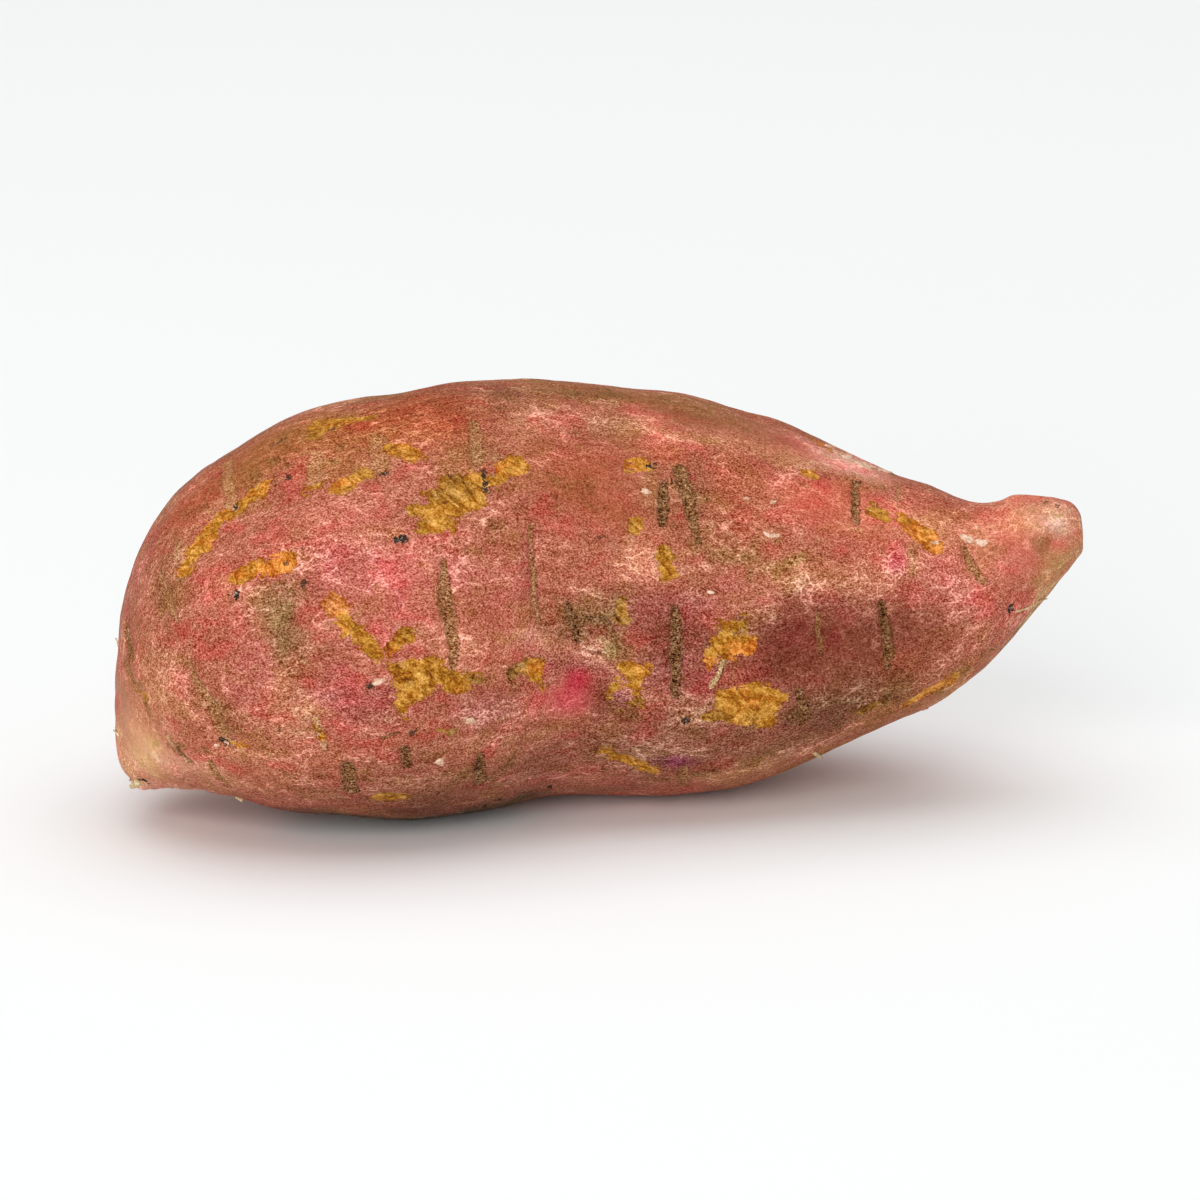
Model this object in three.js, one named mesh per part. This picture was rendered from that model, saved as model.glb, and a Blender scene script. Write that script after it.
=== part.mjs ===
// A sweet potato: one storage root, grown in one piece and lying on its side.
//
// Millimetres, +Z up. The root runs along X, from the broken tail tip at -X to the broken stem end at +X, and its
// front faces -Y. The origin is on the surface that it rests on, under the middle of its bounding box.
//
// The root is a stack of rings. Each ring hangs between an upper and a lower rail, which are the root's outline as
// seen from the front, and the rings fan out where the root bends round its blunt left end. Folds, hollows and the
// furrows of the root scars are raised or sunk by formula, and the underside is pressed flat where it rests.
import * as THREE from 'three';
import { mergeVertices } from 'three/addons/utils/BufferGeometryUtils.js';

// Driving dimensions, in millimetres and degrees
const RING_COUNT = 86;
const RING_SIDES = 44;
const OUTLINE_ELEVATION = 16; // the outline is seen from this far above level
const SECTION_POWER = 2.12; // 2 is an ellipse, and more is squarer
const BELLY = -0.05; // how far the widest line lies above the middle, as a share of the ring's half height
const FLAT_PRESS = 0.8; // how much of the underside is pressed flat
const SCAR_DEPTH = 0.75;
const SCAR_REACH = 2.2;
const RIB_COUNT = 5; // soft ribs that run from the tail to the stem end
const RIB_LIFT = 0.55;
const RIB_TWIST = 1.9; // how far round the ribs wind from end to end, in radians

// One ring each, tail first: where it meets the upper and the lower rail, as [along X, height], then its half depth
// and how far its middle is set back from the front.
const RINGS = [
  { upper: [-80.7, 5.4], lower: [-80.7, 5.4], half: 0, back: -2.5 },
  { upper: [-82.4, 7.2], lower: [-79.4, 5.1], half: 2.0, back: -2.5 },
  { upper: [-83.8, 8.9], lower: [-78.4, 5.2], half: 4.0, back: -2.5 },
  { upper: [-84.7, 12.6], lower: [-77.0, 5.2], half: 7.0, back: -2.5 },
  { upper: [-85.0, 18.9], lower: [-75.6, 5.2], half: 11.5, back: -2.6 },
  { upper: [-84.9, 26.2], lower: [-74.0, 5.2], half: 15.6, back: -2.8 },
  { upper: [-84.2, 33.6], lower: [-72.3, 5.1], half: 19.4, back: -3.0 },
  { upper: [-82.7, 41.2], lower: [-70.2, 4.9], half: 22.7, back: -3.2 },
  { upper: [-80.2, 48.6], lower: [-67.9, 4.5], half: 25.6, back: -3.5 },
  { upper: [-76.3, 55.0], lower: [-65.1, 4.0], half: 28.0, back: -3.8 },
  { upper: [-70.9, 60.2], lower: [-61.8, 3.3], half: 30.0, back: -4.0 },
  { upper: [-63.9, 64.7], lower: [-57.4, 2.1], half: 32.0, back: -4.0 },
  { upper: [-55.5, 69.5], lower: [-51.4, 1.2], half: 33.6, back: -3.8 },
  { upper: [-46.4, 72.8], lower: [-44.6, 0.7], half: 34.8, back: -3.2 },
  { upper: [-36.8, 74.6], lower: [-36.4, 0.1], half: 35.4, back: -2.0 },
  { upper: [-27.1, 76.6], lower: [-28.0, 0.5], half: 35.4, back: 0.2 },
  { upper: [-16.6, 77.2], lower: [-18.4, 2.0], half: 34.9, back: 4.2 },
  { upper: [-6.1, 76.9], lower: [-8.8, 4.2], half: 34.2, back: 7.9 },
  { upper: [4.4, 76.0], lower: [1.8, 4.4], half: 33.7, back: 11.0 },
  { upper: [14.9, 74.7], lower: [12.6, 4.2], half: 33.1, back: 13.2 },
  { upper: [25.4, 71.8], lower: [23.6, 5.4], half: 31.7, back: 14.4 },
  { upper: [35.0, 68.8], lower: [34.1, 9.1], half: 29.3, back: 14.4 },
  { upper: [43.8, 64.8], lower: [43.8, 13.5], half: 26.2, back: 13.6 },
  { upper: [51.6, 60.9], lower: [52.5, 17.3], half: 22.9, back: 12.4 },
  { upper: [58.6, 58.8], lower: [60.0, 20.5], half: 19.6, back: 11.2 },
  { upper: [64.4, 56.3], lower: [66.5, 25.4], half: 16.4, back: 10.0 },
  { upper: [69.5, 56.1], lower: [71.8, 31.0], half: 13.6, back: 8.8 },
  { upper: [73.1, 57.3], lower: [76.3, 36.4], half: 11.2, back: 8.0 },
  { upper: [77.9, 57.1], lower: [80.5, 41.5], half: 8.7, back: 7.2 },
  { upper: [81.9, 56.4], lower: [83.6, 45.3], half: 6.4, back: 6.6 },
  { upper: [83.8, 54.9], lower: [84.8, 46.9], half: 4.8, back: 6.4 },
  { upper: [84.6, 53.0], lower: [84.9, 48.4], half: 2.8, back: 6.4 },
  { upper: [84.5, 50.7], lower: [84.5, 50.7], half: 0, back: 6.4 },
];

// Soft folds (lift above 0) and hollows (below 0): the middle as [along X, height], how far it reaches along and
// across its own line, and how much that line leans, anticlockwise from the front.
const FRONT_FOLDS = [
  { at: [33, 63], along: 22, across: 4, lean: -8, lift: 1.0 },
  { at: [45, 43], along: 24, across: 6.5, lean: 2, lift: 1.6 },
  { at: [40, 29], along: 26, across: 6.5, lean: 9, lift: -2.0 },
  { at: [0, 34], along: 13, across: 9, lean: 0, lift: -1.4 },
  { at: [-55, 58], along: 22, across: 4.5, lean: 37, lift: -1.2 },
  { at: [-46, 52], along: 22, across: 6.5, lean: 29, lift: 0.8 },
  { at: [-38, 31], along: 24, across: 18, lean: 0, lift: 1.4 },
  { at: [-63, 10], along: 15, across: 5, lean: -5, lift: -1.2 },
  { at: [-4, 12], along: 6, across: 13, lean: 0, lift: -1.1 },
  { at: [62, 50], along: 7, across: 10, lean: 0, lift: -0.7 },
];
const BACK_FOLDS = [
  { at: [-12, 47], along: 44, across: 6, lean: -5, lift: -1.7 },
  { at: [-47, 30], along: 20, across: 16, lean: 0, lift: 1.7 },
  { at: [36, 42], along: 20, across: 13, lean: 0, lift: 1.3 },
  { at: [7, 28], along: 7, across: 20, lean: 6, lift: -1.2 },
  { at: [60, 43], along: 15, across: 4, lean: 14, lift: -1.0 },
  { at: [-66, 44], along: 5, across: 16, lean: 18, lift: -0.9 },
];

// Root scars, each a furrow across the root: its middle as [along X, height], its length and its lean from upright.
const FRONT_SCARS = [
  { at: [-26.5, 36.4], length: 19, lean: 4 },
  { at: [-11.4, 42.9], length: 16, lean: 5 },
  { at: [15.2, 55.0], length: 13, lean: 8 },
  { at: [13.4, 31.2], length: 16, lean: 0 },
  { at: [50.0, 32.0], length: 12, lean: 2 },
  { at: [44.3, 55.0], length: 8, lean: 0 },
  { at: [64.9, 44.8], length: 8, lean: 14 },
  { at: [-67.6, 19.0], length: 12, lean: 20 },
  { at: [-39.3, 64.0], length: 10, lean: 6 },
  { at: [-52.0, 29.0], length: 20, lean: 9 },
  { at: [-76.4, 38.0], length: 9, lean: 18 },
];
const BACK_SCARS = [
  { at: [-62, 52], length: 13, lean: 16 },
  { at: [-56, 24], length: 16, lean: 12 },
  { at: [-36, 56], length: 15, lean: 4 },
  { at: [-31, 27], length: 14, lean: 4 },
  { at: [-13, 60], length: 12, lean: 0 },
  { at: [-9, 33], length: 18, lean: 0 },
  { at: [11, 51], length: 14, lean: -3 },
  { at: [17, 26], length: 12, lean: -2 },
  { at: [33, 57], length: 10, lean: -4 },
  { at: [39, 30], length: 14, lean: -6 },
  { at: [55, 47], length: 10, lean: 2 },
  { at: [68, 42], length: 7, lean: 8 },
];

// The rails and the depth along them are smooth curves through the rings' values.
const alongUpper = new THREE.CatmullRomCurve3(
  RINGS.map((ring) => new THREE.Vector3(ring.upper[0], 0, ring.upper[1])), false, 'catmullrom');
const alongLower = new THREE.CatmullRomCurve3(
  RINGS.map((ring) => new THREE.Vector3(ring.lower[0], 0, ring.lower[1])), false, 'catmullrom');
const alongDepth = new THREE.CatmullRomCurve3(
  RINGS.map((ring) => new THREE.Vector3(ring.half, ring.back, 0)), false, 'catmullrom');

// A point of the smooth root, before its folds. run is 0 at the tail and 1 at the stem end, by length of the upper
// rail, and turn goes once round the ring, from the upper rail over the front to the lower rail and up the back.
function smoothPoint(run, turn) {
  const t = alongUpper.getUtoTmapping(run);
  const upper = alongUpper.getPoint(t);
  const lower = alongLower.getPoint(t);
  const depth = alongDepth.getPoint(t);
  const middle = upper.clone().add(lower).multiplyScalar(0.5);
  const rise = upper.sub(lower).multiplyScalar(0.5);
  const up = Math.cos(turn);
  const out = -Math.sin(turn);
  const square = (Math.abs(up) ** SECTION_POWER + Math.abs(out) ** SECTION_POWER) ** (-1 / SECTION_POWER);
  return middle
    .addScaledVector(rise, up * square + BELLY * out * out)
    .add(new THREE.Vector3(0, depth.y + Math.max(depth.x, 0) * out * square, 0));
}

// Distances from a feature's middle, along and across its own leaning line, as seen from the front.
function fromMiddle(point, at, lean) {
  const angle = THREE.MathUtils.degToRad(lean);
  const x = point.x - at[0];
  const z = point.z - at[1];
  return {
    along: x * Math.cos(angle) + z * Math.sin(angle),
    across: z * Math.cos(angle) - x * Math.sin(angle),
  };
}

// How far the ribs, the folds and the scars' furrows lift the surface there, along its own outward direction.
function relief(point, run, turn, folds, scars) {
  let lift = RIB_LIFT * Math.sin(Math.PI * run) * Math.cos(RIB_COUNT * turn + RIB_TWIST * run);
  for (const fold of folds) {
    const { along, across } = fromMiddle(point, fold.at, fold.lean);
    lift += fold.lift * Math.exp(-((along / fold.along) ** 2) - (across / fold.across) ** 2);
  }
  for (const scar of scars) {
    const { along, across } = fromMiddle(point, scar.at, scar.lean);
    lift -= SCAR_DEPTH * Math.exp(-((along / SCAR_REACH) ** 2) - (across / (scar.length / 2)) ** 4);
  }
  return lift;
}

// The outward direction of the smooth root, from two short steps along the surface.
function outward(run, turn) {
  const step = 1e-3;
  const before = smoothPoint(Math.max(run - step, 0), turn);
  const after = smoothPoint(Math.min(run + step, 1), turn);
  const left = smoothPoint(run, turn - step);
  const right = smoothPoint(run, turn + step);
  return new THREE.Vector3().crossVectors(right.sub(left), after.sub(before)).normalize();
}

// A ball is wrapped onto the root: its height sets the run and its angle sets the turn.
function rootGeometry() {
  const geometry = new THREE.SphereGeometry(1, RING_SIDES, RING_COUNT);
  const position = geometry.getAttribute('position');
  const uv = geometry.getAttribute('uv');
  for (let i = 0; i < position.count; i++) {
    const run = uv.getY(i);
    const turn = 2 * Math.PI * uv.getX(i);
    const point = smoothPoint(run, turn);
    const onRing = run > 1e-6 && run < 1 - 1e-6;
    if (onRing) {
      const facing = Math.sin(turn);
      const folds = facing > 0 ? FRONT_FOLDS : BACK_FOLDS;
      const scars = facing > 0 ? FRONT_SCARS : BACK_SCARS;
      const lift = relief(point, run, turn, folds, scars);
      point.addScaledVector(outward(run, turn), lift * facing * facing);
    }
    position.setXYZ(i, point.x, point.y, point.z);
  }
  geometry.deleteAttribute('normal');
  geometry.deleteAttribute('uv');
  return mergeVertices(geometry, 1e-3);
}

// Stands the root on its pressed underside, with the middle of its box over the origin.
function settle(geometry) {
  geometry.rotateX(THREE.MathUtils.degToRad(-OUTLINE_ELEVATION));
  geometry.computeBoundingBox();
  const middle = geometry.boundingBox.getCenter(new THREE.Vector3());
  geometry.translate(-middle.x, -middle.y, -geometry.boundingBox.min.z - FLAT_PRESS);
  const position = geometry.getAttribute('position');
  for (let i = 0; i < position.count; i++) {
    position.setZ(i, Math.max(position.getZ(i), 0));
  }
  geometry.computeVertexNormals();
  return geometry;
}

const skin = new THREE.MeshStandardMaterial({ color: new THREE.Color('#b5695a'), roughness: 0.62, metalness: 0 });
const root = new THREE.Mesh(settle(rootGeometry()), skin);
root.name = 'sweet_potato';

const sweetPotato = new THREE.Group();
sweetPotato.add(root);

export default sweetPotato;
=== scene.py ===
# Sweet potato: one storage root lying on its side, its skin dressed with root scars, rubbed patches and fine grain.
import math

import bpy
import mathutils
import numpy as np
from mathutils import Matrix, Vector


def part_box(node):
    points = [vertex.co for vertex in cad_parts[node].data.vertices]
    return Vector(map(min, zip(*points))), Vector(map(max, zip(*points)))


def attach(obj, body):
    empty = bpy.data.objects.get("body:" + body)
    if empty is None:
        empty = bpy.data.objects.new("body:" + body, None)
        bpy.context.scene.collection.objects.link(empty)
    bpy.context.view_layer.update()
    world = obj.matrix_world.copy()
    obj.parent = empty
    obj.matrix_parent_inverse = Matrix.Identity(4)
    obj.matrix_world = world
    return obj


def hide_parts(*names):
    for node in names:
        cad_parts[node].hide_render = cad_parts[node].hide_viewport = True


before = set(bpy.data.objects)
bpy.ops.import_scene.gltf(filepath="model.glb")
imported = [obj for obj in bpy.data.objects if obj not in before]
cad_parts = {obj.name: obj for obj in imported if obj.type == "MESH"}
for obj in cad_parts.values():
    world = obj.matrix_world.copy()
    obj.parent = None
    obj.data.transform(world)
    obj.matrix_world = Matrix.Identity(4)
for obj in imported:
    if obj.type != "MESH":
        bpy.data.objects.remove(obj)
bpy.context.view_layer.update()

mm = 0.001
rootName = "sweet_potato"

# The root, in millimetres. Each ring is [upper along, upper height, lower along, lower height, half depth, set back],
# tail first, as its outline is seen from the front.
root = {
    "rings": [
        [-80.7, 5.4, -80.7, 5.4, 0, -2.5],
        [-82.4, 7.2, -79.4, 5.1, 2.0, -2.5],
        [-83.8, 8.9, -78.4, 5.2, 4.0, -2.5],
        [-84.7, 12.6, -77.0, 5.2, 7.0, -2.5],
        [-85.0, 18.9, -75.6, 5.2, 11.5, -2.6],
        [-84.9, 26.2, -74.0, 5.2, 15.6, -2.8],
        [-84.2, 33.6, -72.3, 5.1, 19.4, -3.0],
        [-82.7, 41.2, -70.2, 4.9, 22.7, -3.2],
        [-80.2, 48.6, -67.9, 4.5, 25.6, -3.5],
        [-76.3, 55.0, -65.1, 4.0, 28.0, -3.8],
        [-70.9, 60.2, -61.8, 3.3, 30.0, -4.0],
        [-63.9, 64.7, -57.4, 2.1, 32.0, -4.0],
        [-55.5, 69.5, -51.4, 1.2, 33.6, -3.8],
        [-46.4, 72.8, -44.6, 0.7, 34.8, -3.2],
        [-36.8, 74.6, -36.4, 0.1, 35.4, -2.0],
        [-27.1, 76.6, -28.0, 0.5, 35.4, 0.2],
        [-16.6, 77.2, -18.4, 2.0, 34.9, 4.2],
        [-6.1, 76.9, -8.8, 4.2, 34.2, 7.9],
        [4.4, 76.0, 1.8, 4.4, 33.7, 11.0],
        [14.9, 74.7, 12.6, 4.2, 33.1, 13.2],
        [25.4, 71.8, 23.6, 5.4, 31.7, 14.4],
        [35.0, 68.8, 34.1, 9.1, 29.3, 14.4],
        [43.8, 64.8, 43.8, 13.5, 26.2, 13.6],
        [51.6, 60.9, 52.5, 17.3, 22.9, 12.4],
        [58.6, 58.8, 60.0, 20.5, 19.6, 11.2],
        [64.4, 56.3, 66.5, 25.4, 16.4, 10.0],
        [69.5, 56.1, 71.8, 31.0, 13.6, 8.8],
        [73.1, 57.3, 76.3, 36.4, 11.2, 8.0],
        [77.9, 57.1, 80.5, 41.5, 8.7, 7.2],
        [81.9, 56.4, 83.6, 45.3, 6.4, 6.6],
        [83.8, 54.9, 84.8, 46.9, 4.8, 6.4],
        [84.6, 53.0, 84.9, 48.4, 2.8, 6.4],
        [84.5, 50.7, 84.5, 50.7, 0, 6.4],
    ],
    "runSteps": 384,  # rings along the root
    "turnSteps": 256,  # points round a ring
    "outlineElevation": 16,  # degrees above level from which the outline is seen
    "sectionPower": 2.12,  # 2 makes a ring an ellipse, and more makes it squarer
    "belly": -0.05,  # where a ring is widest, as a share of its half height, below 0 under its middle
    "ribCount": 5,
    "ribLift": 0.55,
    "ribTwist": 1.9,  # radians that the ribs wind round from tail to stem
    # [along, height, reach along, reach across, lean, lift]: folds lift, hollows sink
    "frontFolds": [
        [33, 63, 22, 4, -8, 1.0], [45, 43, 24, 6.5, 2, 1.6], [40, 29, 26, 6.5, 9, -2.0], [0, 34, 13, 9, 0, -1.4],
        [-55, 58, 22, 4.5, 37, -1.2], [-46, 52, 22, 6.5, 29, 0.8], [-38, 31, 24, 18, 0, 1.4],
        [-63, 10, 15, 5, -5, -1.2], [-4, 12, 6, 13, 0, -1.1], [62, 50, 7, 10, 0, -0.7],
    ],
    "backFolds": [
        [-12, 47, 44, 6, -5, -1.7], [-47, 30, 20, 16, 0, 1.7], [36, 42, 20, 13, 0, 1.3], [7, 28, 7, 20, 6, -1.2],
        [60, 43, 15, 4, 14, -1.0], [-66, 44, 5, 16, 18, -0.9],
    ],
    # [along, height, length, lean]: a soft furrow under each of the larger root scars
    "furrowDepth": 0.75,
    "furrowReach": 2.2,
    "frontFurrows": [
        [-26.5, 36.4, 19, 4], [-11.4, 42.9, 16, 5], [15.2, 55, 13, 8], [13.4, 31.2, 16, 0], [50, 32, 12, 2],
        [44.3, 55, 8, 0], [64.9, 44.8, 8, 14], [-67.6, 19, 12, 20], [-39.3, 64, 10, 6], [-52, 29, 20, 9],
        [-76.4, 38, 9, 18],
    ],
    "backFurrows": [
        [-62, 52, 13, 16], [-56, 24, 16, 12], [-36, 56, 15, 4], [-31, 27, 14, 4], [-13, 60, 12, 0], [-9, 33, 18, 0],
        [11, 51, 14, -3], [17, 26, 12, -2], [33, 57, 10, -4], [39, 30, 14, -6], [55, 47, 10, 2], [68, 42, 7, 8],
    ],
    # unevenness over the whole skin: [size along, size across, lift]
    "lumps": [[26, 17, 0.45], [11, 7, 0.22], [9, 2.6, 0.16], [4.5, 1.7, 0.09], [2.0, 1.6, 0.05]],
    "inset": 0.12,  # how far the skin lies inside the solid
}

# Marks on the skin, in millimetres, as seen from the front: strokes of [along, height, half width].
marks = {
    # rubbed patches that show the yellow flesh under the skin, each with its tone from 0, olive, to 1, orange
    "rubbed": [
        [0.85, [-72.5, 44.5, 1.5], [-70, 48, 1.8], [-68.5, 50, 1.5], [-67.5, 52, 1.2], [-65.5, 53.5, 1.1],
         [-63.5, 54, 0.8], [-62.5, 55.5, 0.9], [-60, 57, 1.2], [-58.5, 58.5, 1.0]],
        [0.6, [-49.5, 67.5, 1.2], [-48.5, 69, 1.5], [-46, 69.5, 1.4], [-43, 70, 1.1], [-40, 70, 0.9]],
        [0.75, [-46, 58.5, 1.4], [-43.5, 59.5, 1.7], [-41.5, 60.5, 1.4]],
        [0.5, [-51.5, 57.5, 0.5], [-49, 58.5, 0.6]],
        [0.8, [-35.5, 64.5, 2.0], [-32.5, 64, 1.7]],
        [0.9, [-63.5, 42, 1.2], [-61.5, 44, 1.4], [-60, 44, 1.2], [-57.5, 44.5, 1.3], [-55, 45, 1.5]],
        [0.5, [-27, 59, 1.7], [-21, 59, 1.8]],
        [0.5, [-28.5, 56.5, 1.9], [-21.5, 56.5, 1.9]],
        [0.4, [-33.5, 54, 1.0], [-28, 54.5, 1.4]],
        [0.45, [-30.5, 52, 1.5], [-27, 52.5, 1.6]],
        [0.5, [-25.5, 54.5, 1.7], [-22.5, 55.5, 1.6]],
        [0.75, [-18, 60, 1.0], [-16.5, 62, 1.5], [-14, 62.5, 1.4]],
        [0.9, [5.5, 62, 1.0], [8, 62, 1.2]],
        [0.7, [6, 52, 1.0], [6, 51, 1.0]],
        [0.6, [11, 45.5, 1.3], [12, 43.5, 1.4]],
        [0.7, [-36, 30, 0.8], [-34.5, 31.5, 1.3], [-33, 32, 1.2]],
        [0.6, [-35, 26.5, 1.6], [-28.5, 26, 1.6]],
        [0.5, [-34.5, 24, 1.8], [-30.5, 24, 1.9]],
        [0.5, [-34.5, 21.5, 1.3], [-31, 22, 1.4]],
        [0.4, [-35, 20.5, 0.8], [-34.5, 18.5, 0.6]],
        [0.65, [-28, 25.5, 1.3], [-25, 24, 1.4], [-23, 23, 1.1]],
        [0.5, [-22.4, 57.6, 1.2], [-19.6, 58.9, 1.2], [-17.4, 60.4, 1.0]],
        [0.35, [3.4, 37.4, 0.9], [3.7, 35.6, 1.0]],
        [0.4, [-22.5, 24, 0.8], [-20.5, 24.5, 0.6]],
        [0.1, [-15.5, 25.5, 1.1], [-13, 27, 1.2]],
        [0.7, [-13, 27, 1.0], [-10.5, 27.5, 1.2]],
        [0.5, [-11, 25.5, 0.8], [-10, 24, 0.7]],
        [0.8, [5, 26.5, 1.3], [7.5, 26, 1.4]],
        [0.7, [7, 25, 0.9], [6, 23, 0.8]],
        [0.6, [3.5, 24, 0.6], [2, 22, 0.6]],
        [0.3, [3.5, 19, 0.5], [7, 20.5, 0.5]],
        [0.6, [0.5, 11.5, 0.7], [4, 10.5, 1.1], [7, 9.5, 1.0], [9, 8.5, 0.5]],
        [0.35, [-38.5, 4, 1.5], [-34.5, 4, 1.7]],
        [0.1, [-28.5, 15.5, 0.5], [-26, 15, 0.5]],
        [1.4, [-46.5, 37.7, 1.7], [-45, 37, 1.5]],
        [0.8, [-45.5, 35.5, 1.2], [-43.5, 33, 1.3]],
        [0.5, [-43.5, 33, 1.3], [-41, 31.5, 1.2], [-39, 29, 0.9]],
        [0.7, [-50, 16.5, 0.7], [-49, 14.5, 0.6]],
        [0.8, [-80.2, 22.6, 0.3], [-79.8, 21.8, 0.3]],
        [0.9, [-64, 13.5, 0.6], [-62.5, 13, 0.6]],
        [0.9, [19.5, 27.5, 0.7], [20.5, 29.5, 1.3], [21.5, 31, 1.5]],
        [1.0, [22.5, 30.5, 1.8], [25.5, 31, 1.9]],
        [0.5, [22, 33.5, 1.2], [25, 34.5, 1.2]],
        [0.6, [22.5, 22, 1.6], [28, 22.5, 1.6]],
        [0.45, [28.5, 21.5, 1.3], [32, 21.6, 0.8]],
        [0.6, [21.5, 20.5, 1.9], [29.5, 20, 2.0]],
        [0.45, [18.5, 18, 0.9], [24, 18, 1.3]],
        [0.6, [25, 18, 1.6], [29.5, 17.5, 1.3]],
        [0.9, [53.5, 20.6, 0.9], [57, 22.2, 1.4], [60.5, 24, 1.3], [62.5, 25.4, 0.7]],
        [0.2, [45.5, 19, 0.8], [49.5, 21, 0.8]],
        [0.9, [53, 52.5, 1.1], [54.5, 51.5, 1.2]],
        [1.15, [55, 51, 1.7], [57.5, 49, 1.7], [59, 48, 1.1]],
        [0.5, [47.5, 54.5, 0.9], [50, 53, 1.0]],
        [0.7, [35.5, 61, 0.6], [37.5, 60.5, 0.7]],
        [0.3, [18.5, 71.5, 0.8], [19, 71.5, 0.8]],
        [0.4, [25.5, 71.5, 0.7], [26, 71, 0.7]],
        [1.0, [37.5, 67, 0.6], [39.5, 65.5, 0.7]],
    ],
    # root scars: corky slits across the root, each with its strength first; below 0 it is a raised pale strip
    "slits": [
        [0.65, [-27.5, 45.5, 0.5], [-27.2, 41.5, 1.0], [-26.6, 37, 1.35], [-25.8, 31.5, 1.1], [-25.6, 27, 0.6]],
        [0.6, [-12.4, 51.5, 0.3], [-12, 45, 0.5], [-11.4, 39, 0.6], [-10.8, 34, 0.4]],
        [1, [11, 59, 0.7], [11, 55.5, 1.0], [11, 52.5, 0.7]],
        [0.8, [14.2, 60.4, 1.5], [14.9, 57, 1.1], [16.3, 53, 0.85], [17, 48.6, 0.4]],
        [1, [13, 37, 0.7], [13.5, 32, 1.15], [13.5, 27.5, 1.1], [13.5, 22, 0.7]],
        [0.75, [44.5, 59, 0.6], [44.5, 55.5, 0.75], [44.5, 52, 0.6]],
        [0.95, [49.4, 38.2, 0.7], [50, 34, 0.85], [50.4, 29.8, 0.95], [50.4, 27, 0.5]],
        [0.7, [38, 36.5, 0.4], [38, 33, 0.5], [38.5, 29.5, 0.4]],
        [0.6, [64, 47.5, 0.6], [65, 44.5, 0.75], [67, 41.5, 0.6]],
        [0.55, [-72, 27.5, 0.3], [-70.3, 23.8, 0.6], [-68.1, 20.3, 1.0], [-66.9, 17.2, 1.1], [-65.8, 14.8, 0.9]],
        [0.9, [-67.2, 18.6, 0.3], [-66.8, 16.6, 0.35]],
        [0.45, [-77, 43, 0.5], [-76, 39.5, 0.7], [-74.5, 35, 0.5]],
        [0.4, [-39, 66.5, 1.5], [-38.5, 62, 1.7]],
        [0.35, [-49.5, 64, 1.1], [-50.5, 59, 1.3]],
        [0.45, [-65, 62.5, 1.1], [-64.5, 55.5, 1.3]],
        [0.55, [-22, 69, 1.0], [-21.5, 63, 1.2]],
        [0.85, [-44, 9, 1.2], [-43.5, 5, 1.3]],
        [0.95, [-34.5, 12.5, 0.8], [-34, 9.5, 0.9]],
        [0.95, [-21, 11, 0.8], [-21, 6.5, 1.0]],
        [0.9, [35, 22.5, 0.6], [35.5, 19.5, 0.9], [35, 17, 0.6]],
        [0.6, [14.5, 9, 0.7], [14.5, 6, 0.9]],
        [0.6, [-68.5, 10, 0.4], [-67, 7.5, 0.6], [-65, 5.5, 0.6]],
        [0.35, [54.5, 47.5, 0.5], [54.5, 43.5, 0.6]],
        [0.4, [52, 59, 0.4], [52, 56, 0.5]],
        [0.7, [-83, 34.5, 1.0], [-82, 29, 1.1]],
        [0.6, [-83, 27.5, 0.4], [-80.5, 22.5, 0.4]],
        [-0.9, [24.2, 34.8, 0.35], [23, 32, 0.45], [21.4, 28.6, 0.35], [20.2, 25.4, 0.55], [19.4, 23.6, 0.3]],
        [-0.5, [-66, 14.2, 0.4], [-64.5, 13.2, 0.5], [-62.6, 12.6, 0.4]],
        [-0.6, [-76, 14.5, 0.3], [-73.8, 11.6, 0.35], [-72.2, 9.8, 0.25]],
        [-0.4, [-49.8, 17, 0.6], [-49, 14.6, 0.7], [-48.4, 12.6, 0.5]],
        [0.8, [-38, 14.5, 0.2], [-35.5, 14.8, 0.25]],
        [0.95, [-5.6, 37.6, 0.4], [-5.2, 36, 0.5], [-4.5, 34.4, 0.6], [-4.1, 32.2, 0.4]],
        [0.9, [-4.2, 34, 0.4], [-2.2, 35, 0.45], [-0.6, 35.4, 0.35]],
        [0.8, [0.6, 34.8, 0.4], [1.9, 33.4, 0.5], [2.6, 31.4, 0.4]],
        [-0.3, [0.8, 31.6, 0.7], [1.9, 30.2, 0.9], [2.5, 28.8, 0.6]],
        [0.7, [-76, 13.2, 0.15], [-73.6, 11.2, 0.25], [-72.2, 9.7, 0.2]],
        [0.6, [-74.4, 12.4, 0.5], [-73.4, 12.6, 0.7]],
        [0.6, [-80.8, 24, 0.3], [-79.9, 20.4, 0.5], [-79.2, 18.2, 0.3]],
    ],
    # cream flakes where the top layer of the skin has chipped off
    "chips": [
        [[-39, 24, 1.0]], [[-23, 17, 0.9]], [[-28, 10, 0.9]], [[8, 57.5, 0.8]], [[29.5, 50, 0.9], [31, 49.5, 0.7]],
        [[30.5, 56, 0.5]], [[25.5, 56, 0.5]], [[19.5, 40, 0.5]], [[-17.5, 14.5, 0.4]], [[-67, 13.2, 0.5]],
        [[64.2, 49.2, 1.1], [66.6, 48.6, 0.9]], [[58.5, 48.5, 0.6]], [[-65, 13.5, 0.7]], [[-81.5, 6.5, 1.0]],
        # The flakes along the ridge from 40 to 50 along are also a painted highlight: pale flakes set where that ridge
        # catches the light.
        [[40, 65.4, 1.0], [43.2, 63.6, 1.5]], [[43.4, 63.4, 1.4], [46, 62.2, 1.7]], [[46.5, 62, 1.7], [50, 61, 1.3]],
    ],
    # dark pits and specks
    "pits": [
        [[-35.4, 49.3, 0.7], [-34.3, 48.8, 0.8]], [[0.2, 29.6, 0.3]], [[-20.4, 60.8, 0.5], [-19.6, 58.3, 0.6]],
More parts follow.
